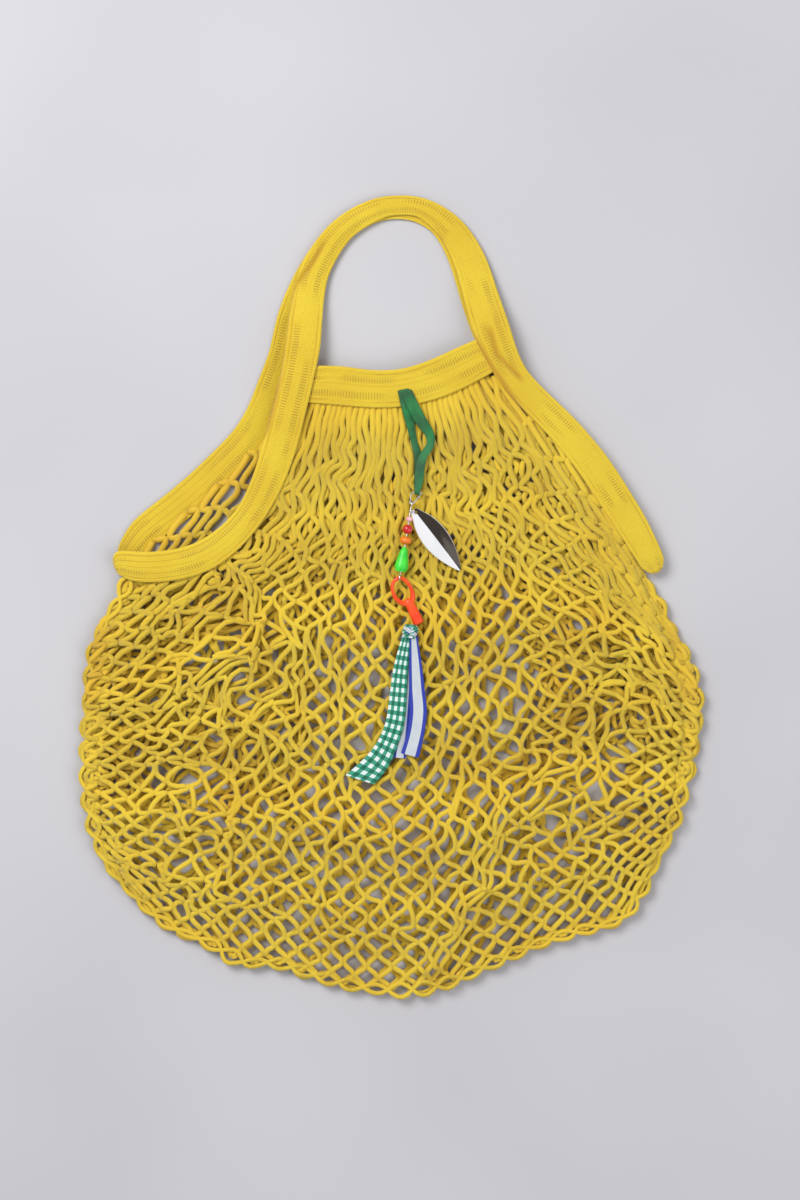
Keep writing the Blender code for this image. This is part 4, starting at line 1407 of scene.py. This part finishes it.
@dataclass
class Charm:
    """The charm tied to the mouth band: ribbon loop, wire shaft with beads and blade, snap and ribbons."""

    looks: dict[str, Material]

    def __post_init__(self) -> None:
        """Finds the shaft's directions."""
        self.run = (SHAFT_END - SHAFT_TOP).normalized()
        self.left = UP.cross(self.run)

    def dress(self, obj: Object, node: str, slot: str, body: str = "bag", angle: float = 50) -> Object:
        """Finishes a piece in the look of its slot and lets it stand for its node."""
        return stands_in(obj, self.looks[slot], node, slot, body, angle)

    def turned(self, name: str, profile: list[tuple[float, float]], place: Vector, steps: int) -> Object:
        """Turns a closed profile of (radius, height) round the shaft's direction.

        Args:
            name: The piece's name.
            profile: The profile's corners.
            place: Where its height is 0.
            steps: How many faces go round.

        Returns:
            The piece.
        """
        bm = bmesh.new()
        verts = [bm.verts.new((radius, 0, height)) for radius, height in profile]
        edges = [bm.edges.new((a, b)) for a, b in zip(verts, verts[1:] + verts[:1])]
        bmesh.ops.spin(bm, geom=verts + edges, axis=(0, 0, 1), cent=(0, 0, 0), angle=FULL_TURN, steps=steps,
                       use_merge=True)
        bmesh.ops.recalc_face_normals(bm, faces=bm.faces[:])
        set_down(bm, UP.rotation_difference(self.run).to_matrix().to_4x4(), place)
        return piece_of(name, bm)

    def bead(self, row: Any) -> None:
        """Makes one bead or the tapered float.

        Args:
            row: A row of the beads' table.
        """
        half, bore, rings = row.length * MM / 2, WIRE + GAP, 18
        profile = [(bore, half), (bore, -half)]
        for ring in range(rings + 1):
            share = ring / rings
            height = half * (2 * share - 1)
            if row.taper:
                radius = row.taper + (row.radius - row.taper) * ease(share * 1.15)
                radius -= ease(1 - share * 6) + ease(share * 6 - 5)
            else:
                radius = row.radius * math.sqrt(max(0.15, 1 - (height / half) ** 2 * 0.85))
            profile.append((radius * MM, height))
        obj = self.turned("round_" + row.node, profile, SHAFT_TOP + self.run * row.station * MM, 32)
        self.dress(obj, row.node, row.slot)

    def eye(self, centre: Vector, towards: Vector) -> list[Vector]:
        """Points round an upright eye, from near the shaft all the way round to it."""
        made = []
        for step in range(EYE_STEPS + 1):
            angle = EYE_OPENING + (FULL_TURN - EYE_OPENING) * step / EYE_STEPS
            made.append(centre + (towards * math.cos(angle) + UP * math.sin(angle)) * EYE)
        return made

    def wires(self) -> None:
        """Makes the shaft with an eye at each end, and the ring that joins it to the ribbon's fold."""
        points = self.eye(SHAFT_TOP - self.run * EYE, self.run)
        points += [SHAFT_TOP.lerp(SHAFT_END, share) for share in (0.25, 0.5, 0.75)]
        points += self.eye(SHAFT_END + self.run * EYE, -self.run)[::-1]
        seat = SHAFT_TOP - self.run * (EYE + EYE - 2 * WIRE - GAP)
        ring = [RIBBON_FOLD.lerp(seat, share) + Vector((aside * MM, 0, 0)) for share, aside in RING_OUTLINE]
        ring += [RIBBON_FOLD.lerp(seat, share) - Vector((aside * MM, 0, 0)) for share, aside in RING_OUTLINE[::-1]]
        for name, line, closed, node in (("wire_ring", smooth_ring(ring, 3), True, "wire_clip"),
                                         ("beaded_shaft", points, False, "shaft_wire")):
            obj = tube(name, [[(p, 1.0) for p in line]], oval(WIRE, WIRE, 10), closed)
            self.dress(obj, node, "silver_wire")

    def clevis(self) -> None:
        """Makes the ring round the shaft that the blade hangs on."""
        turns = [FULL_TURN * step / CLEVIS_SIDES for step in range(CLEVIS_SIDES)]
        profile = [(CLEVIS_RADIUS + CLEVIS_WIRE * math.cos(t), CLEVIS_WIRE * math.sin(t)) for t in turns]
        place = SHAFT_TOP + self.run * CLEVIS_STATION + self.left * CLEVIS_SHIFT
        self.dress(self.turned("clevis_ring", profile, place, 36), "blade_clevis", "silver_wire", "blade")

    def blade(self) -> None:
        """Makes the cupped leaf-shaped blade with the hole that it hangs by."""
        hole = SHAFT_TOP + self.run * CLEVIS_STATION + self.left * (CLEVIS_RADIUS + CLEVIS_SHIFT)
        forward = (self.run * BLADE_LEAN.x + self.left * BLADE_LEAN.y - UP * BLADE_LEAN.z).normalized()
        side = UP.cross(forward).normalized()
        up = forward.cross(side)
        shape = smooth_line([Vector(row) * MM for row in BLADE_OUTLINE], 4)
        lanes = [2 * lane / BLADE_LANES - 1 for lane in range(BLADE_LANES + 1)]
        roof = [0.45 * (1 - abs(lane)) + 0.55 * (1 - lane * lane) for lane in lanes]
        bm = shaped_grid(
            len(shape) - 1, BLADE_LANES,
            lambda row, lane: (hole + forward * shape[row].x + side * lanes[lane] * shape[row].y
                               + up * shape[row].z * roof[lane]),
            Share=lambda row, lane: (row / (len(shape) - 1), lanes[lane]),
        )
        near = [f for f in bm.faces if (f.calc_center_median() - hole).length < BLADE_HOLE]
        bmesh.ops.delete(bm, geom=near, context="FACES")
        obj = self.dress(piece_of("leaf_blade", bm), "spinner_blade", "blade_chrome", "blade", 80)
        thickened(obj, BLADE_SHEET)

    def snap(self) -> None:
        """Makes the moulded snap: a round bar bent into a loop, with its solid end."""
        line = smooth_ring([Vector(row) * MM for row in SNAP_LOOP], 6)
        thicker, reach = SNAP_ROOT
        bar = [(p, 1 + thicker * ease(1 - (p - SNAP_START).length / reach)) for p in line]
        loop = tube("moulded_snap", [bar], oval(*SNAP_BAR, 12), closed=True)
        run = SNAP_TIP - SNAP_START
        bm = bmesh.new()
        bmesh.ops.create_cube(bm, size=1)
        bmesh.ops.scale(bm, vec=(*SNAP_SIZE, run.length), verts=bm.verts[:])
        for vert in bm.verts:
            if vert.co.z < 0:
                vert.co.x *= SNAP_TAPER
        bmesh.ops.bevel(bm, geom=bm.edges[:], offset=SNAP_ROUNDING, segments=5, affect="EDGES", profile=0.5, material=-1)
        set_down(bm, run.to_track_quat("Z", "Y").to_matrix().to_4x4(), (SNAP_START + SNAP_TIP) / 2)
        for obj in (loop, piece_of("snap_end", bm)):
            self.dress(obj, "orange_clip", "orange_plastic")

    def knot(self) -> None:
        """Makes the knot: turns of both ribbons wound over one another."""
        rows, lanes = KNOT_GRID
        for name, slot, size, tilt, width in (
            ("knot_gingham", "gingham_cotton", (5.4, 3.5), 24, 5.6),
            ("knot_blue", "white_ribbon", (5.0, 3.7), -34, 4.6),
            ("knot_core", "gingham_cotton", (4.4, 2.9), -4, 9.6),
        ):
            bm = shaped_grid(
                rows, lanes, lambda row, lane: self.on_knot(row / rows, 2 * lane / lanes - 1, size, tilt, width),
                Metres=lambda row, lane: (row / rows * 0.028, (lane / lanes - 0.5) * width * MM),
                Share=lambda row, lane: (row / rows, 2 * lane / lanes - 1),
            )
            bmesh.ops.remove_doubles(bm, verts=bm.verts[:], dist=0.01 * MM)
            set_down(bm, Matrix.Rotation(math.radians(tilt), 4, "Z"), KNOT_MIDDLE)
            thickened(self.dress(piece_of(name, bm), "ribbon_knot", slot, angle=80), RIBBON)

    @staticmethod
    def on_knot(turn: float, side: float, size: tuple[float, float], tilt: float, width: float) -> Vector:
        """A point of one of the knot's turns.

        Args:
            turn: Share of the way round.
            side: Share of the way across, from -1 to 1.
            size: The turn's half width and half height.
            tilt: The turn's tilt in degrees, which sets its swellings.
            width: The ribbon's width.

        Returns:
            The point, about the knot's middle.
        """
        angle = FULL_TURN * turn
        swell = 1 - 0.22 * side * side + 0.06 * math.cos(5 * angle + tilt)
        return Vector((size[0] * swell * math.cos(angle), side * width / 2, size[1] * swell * math.sin(angle))) * MM

    def ribbons(self) -> None:
        """Makes the satin loop and the three free ribbon ends."""
        down, up = smooth_strip(LOOP_DOWN), smooth_strip(LOOP_UP, back=True)
        turn = turn_under(up[0], Vector((0, -1, 0)), up[0].middle.z - down[-1].middle.z)[:-1]
        on_net = ("net_front",)
        for name, line, thickness, slot, node, held, under in (
            ("satin_loop", down + turn[::-1] + up, RIBBON, "green_satin", "green_ribbon_loop", "folded",
             ("band_front", "net_front")),
            ("gingham_end", cut_aslant(smooth_strip(GINGHAM), *GINGHAM_CUT), RIBBON, "gingham_cotton",
             "gingham_ribbon", "laid", on_net),
            ("blue_edged_end", smooth_strip(BLUE_EDGE), RIBBON, "white_ribbon", "blue_edge_ribbon", "laid", on_net),
            ("blue_edged_tail", smooth_strip(TAIL), 0.6 * MM, "white_ribbon", "blue_edge_tail", "laid", on_net),
        ):
            ClothStrip(name, line, RIBBON_PROFILE, thickness, self.looks[slot], slot, node, held, under).build()

    def build(self) -> None:
        """Builds the whole charm."""
        self.ribbons()
        self.wires()
        for row in BEADS:
            self.bead(row)
        self.clevis()
        self.blade()
        self.snap()
        self.knot()


@dataclass
class Studio:
    """The floor, the lights and the camera."""

    frame_height: float = 0.84
    camera_height: float = 1.7
    aim: tuple[float, float] = (0.00525, -0.00385)

    def camera(self) -> None:
        """Looks straight down, with the photograph's framing."""
        lens = bpy.data.cameras.new("overhead")
        lens.sensor_fit = "VERTICAL"
        lens.sensor_height = 36.0
        lens.lens = lens.sensor_height * self.camera_height / self.frame_height
        lens.clip_end = 20
        eye = in_scene(lens)
        eye.location = (*self.aim, self.camera_height)
        bpy.context.scene.camera = eye

    def light(self, name: str, place: tuple[float, float, float], size: float, watts: float) -> None:
        """Adds a square soft light aimed at the bag.

        Args:
            name: The light's name.
            place: Where it hangs.
            size: Its side in metres.
            watts: Its power.
        """
        lamp = bpy.data.lights.new(name, "AREA")
        lamp.size = size
        lamp.energy = watts
        lamp.color = (1.0, 0.985, 0.96)
        holder = in_scene(lamp)
        holder.location = place
        holder.rotation_euler = (-Vector(place)).to_track_quat("-Z", "Y").to_euler()

    def build(self, effects: Effects) -> None:
        """Builds the floor, the lights and the surroundings.

        Args:
            effects: The shared node groups.
        """
        bm = bmesh.new()
        bmesh.ops.create_grid(bm, x_segments=1, y_segments=1, size=4)
        floor = piece_of("floor", bm)
        floor.location.z = -0.0006
        look, graph, inputs = Finish("floor_paper", rough=(0.9, 0.9), slow=3.0, fast=60.0).start(effects)
        graph.feed(inputs["Base Color"], graph.mix(graph.slow, srgb(192, 191, 195), srgb(185, 184, 189)))
        floor.data.materials.append(look)
        self.light("key_light", (-0.9, 0.9, 1.5), 1.0, 33)
        self.light("fill_light", (1.1, -0.5, 1.3), 1.4, 12)
        world = bpy.data.worlds.new("soft_room")
        world.use_nodes = True
        for socket, value in zip(world.node_tree.nodes["Background"].inputs, ((0.86, 0.88, 0.92, 1), 0.5)):
            socket.default_value = value
        bpy.context.scene.world = world
        bpy.context.scene.view_settings.view_transform = "Standard"


def main() -> None:
    """Builds the camera, the finishes, the bag, the charm and the studio in order."""
    logging.basicConfig(level=logging.INFO, format="%(message)s")
    studio = Studio()
    studio.camera()
    noise.seed_set(NET_SEED)
    effects = Effects()
    looks = {key: finish.build(effects) for key, finish in FINISHES.items()}
    tapes = Tapes(looks["cotton_tape"])
    for side in (Side.BACK, Side.FRONT):
        NetLayer(side, tapes, looks[side.value]).build()
    tapes.build()
    Charm(looks).build()
    studio.build(effects)


if __name__ == "__main__":
    main()
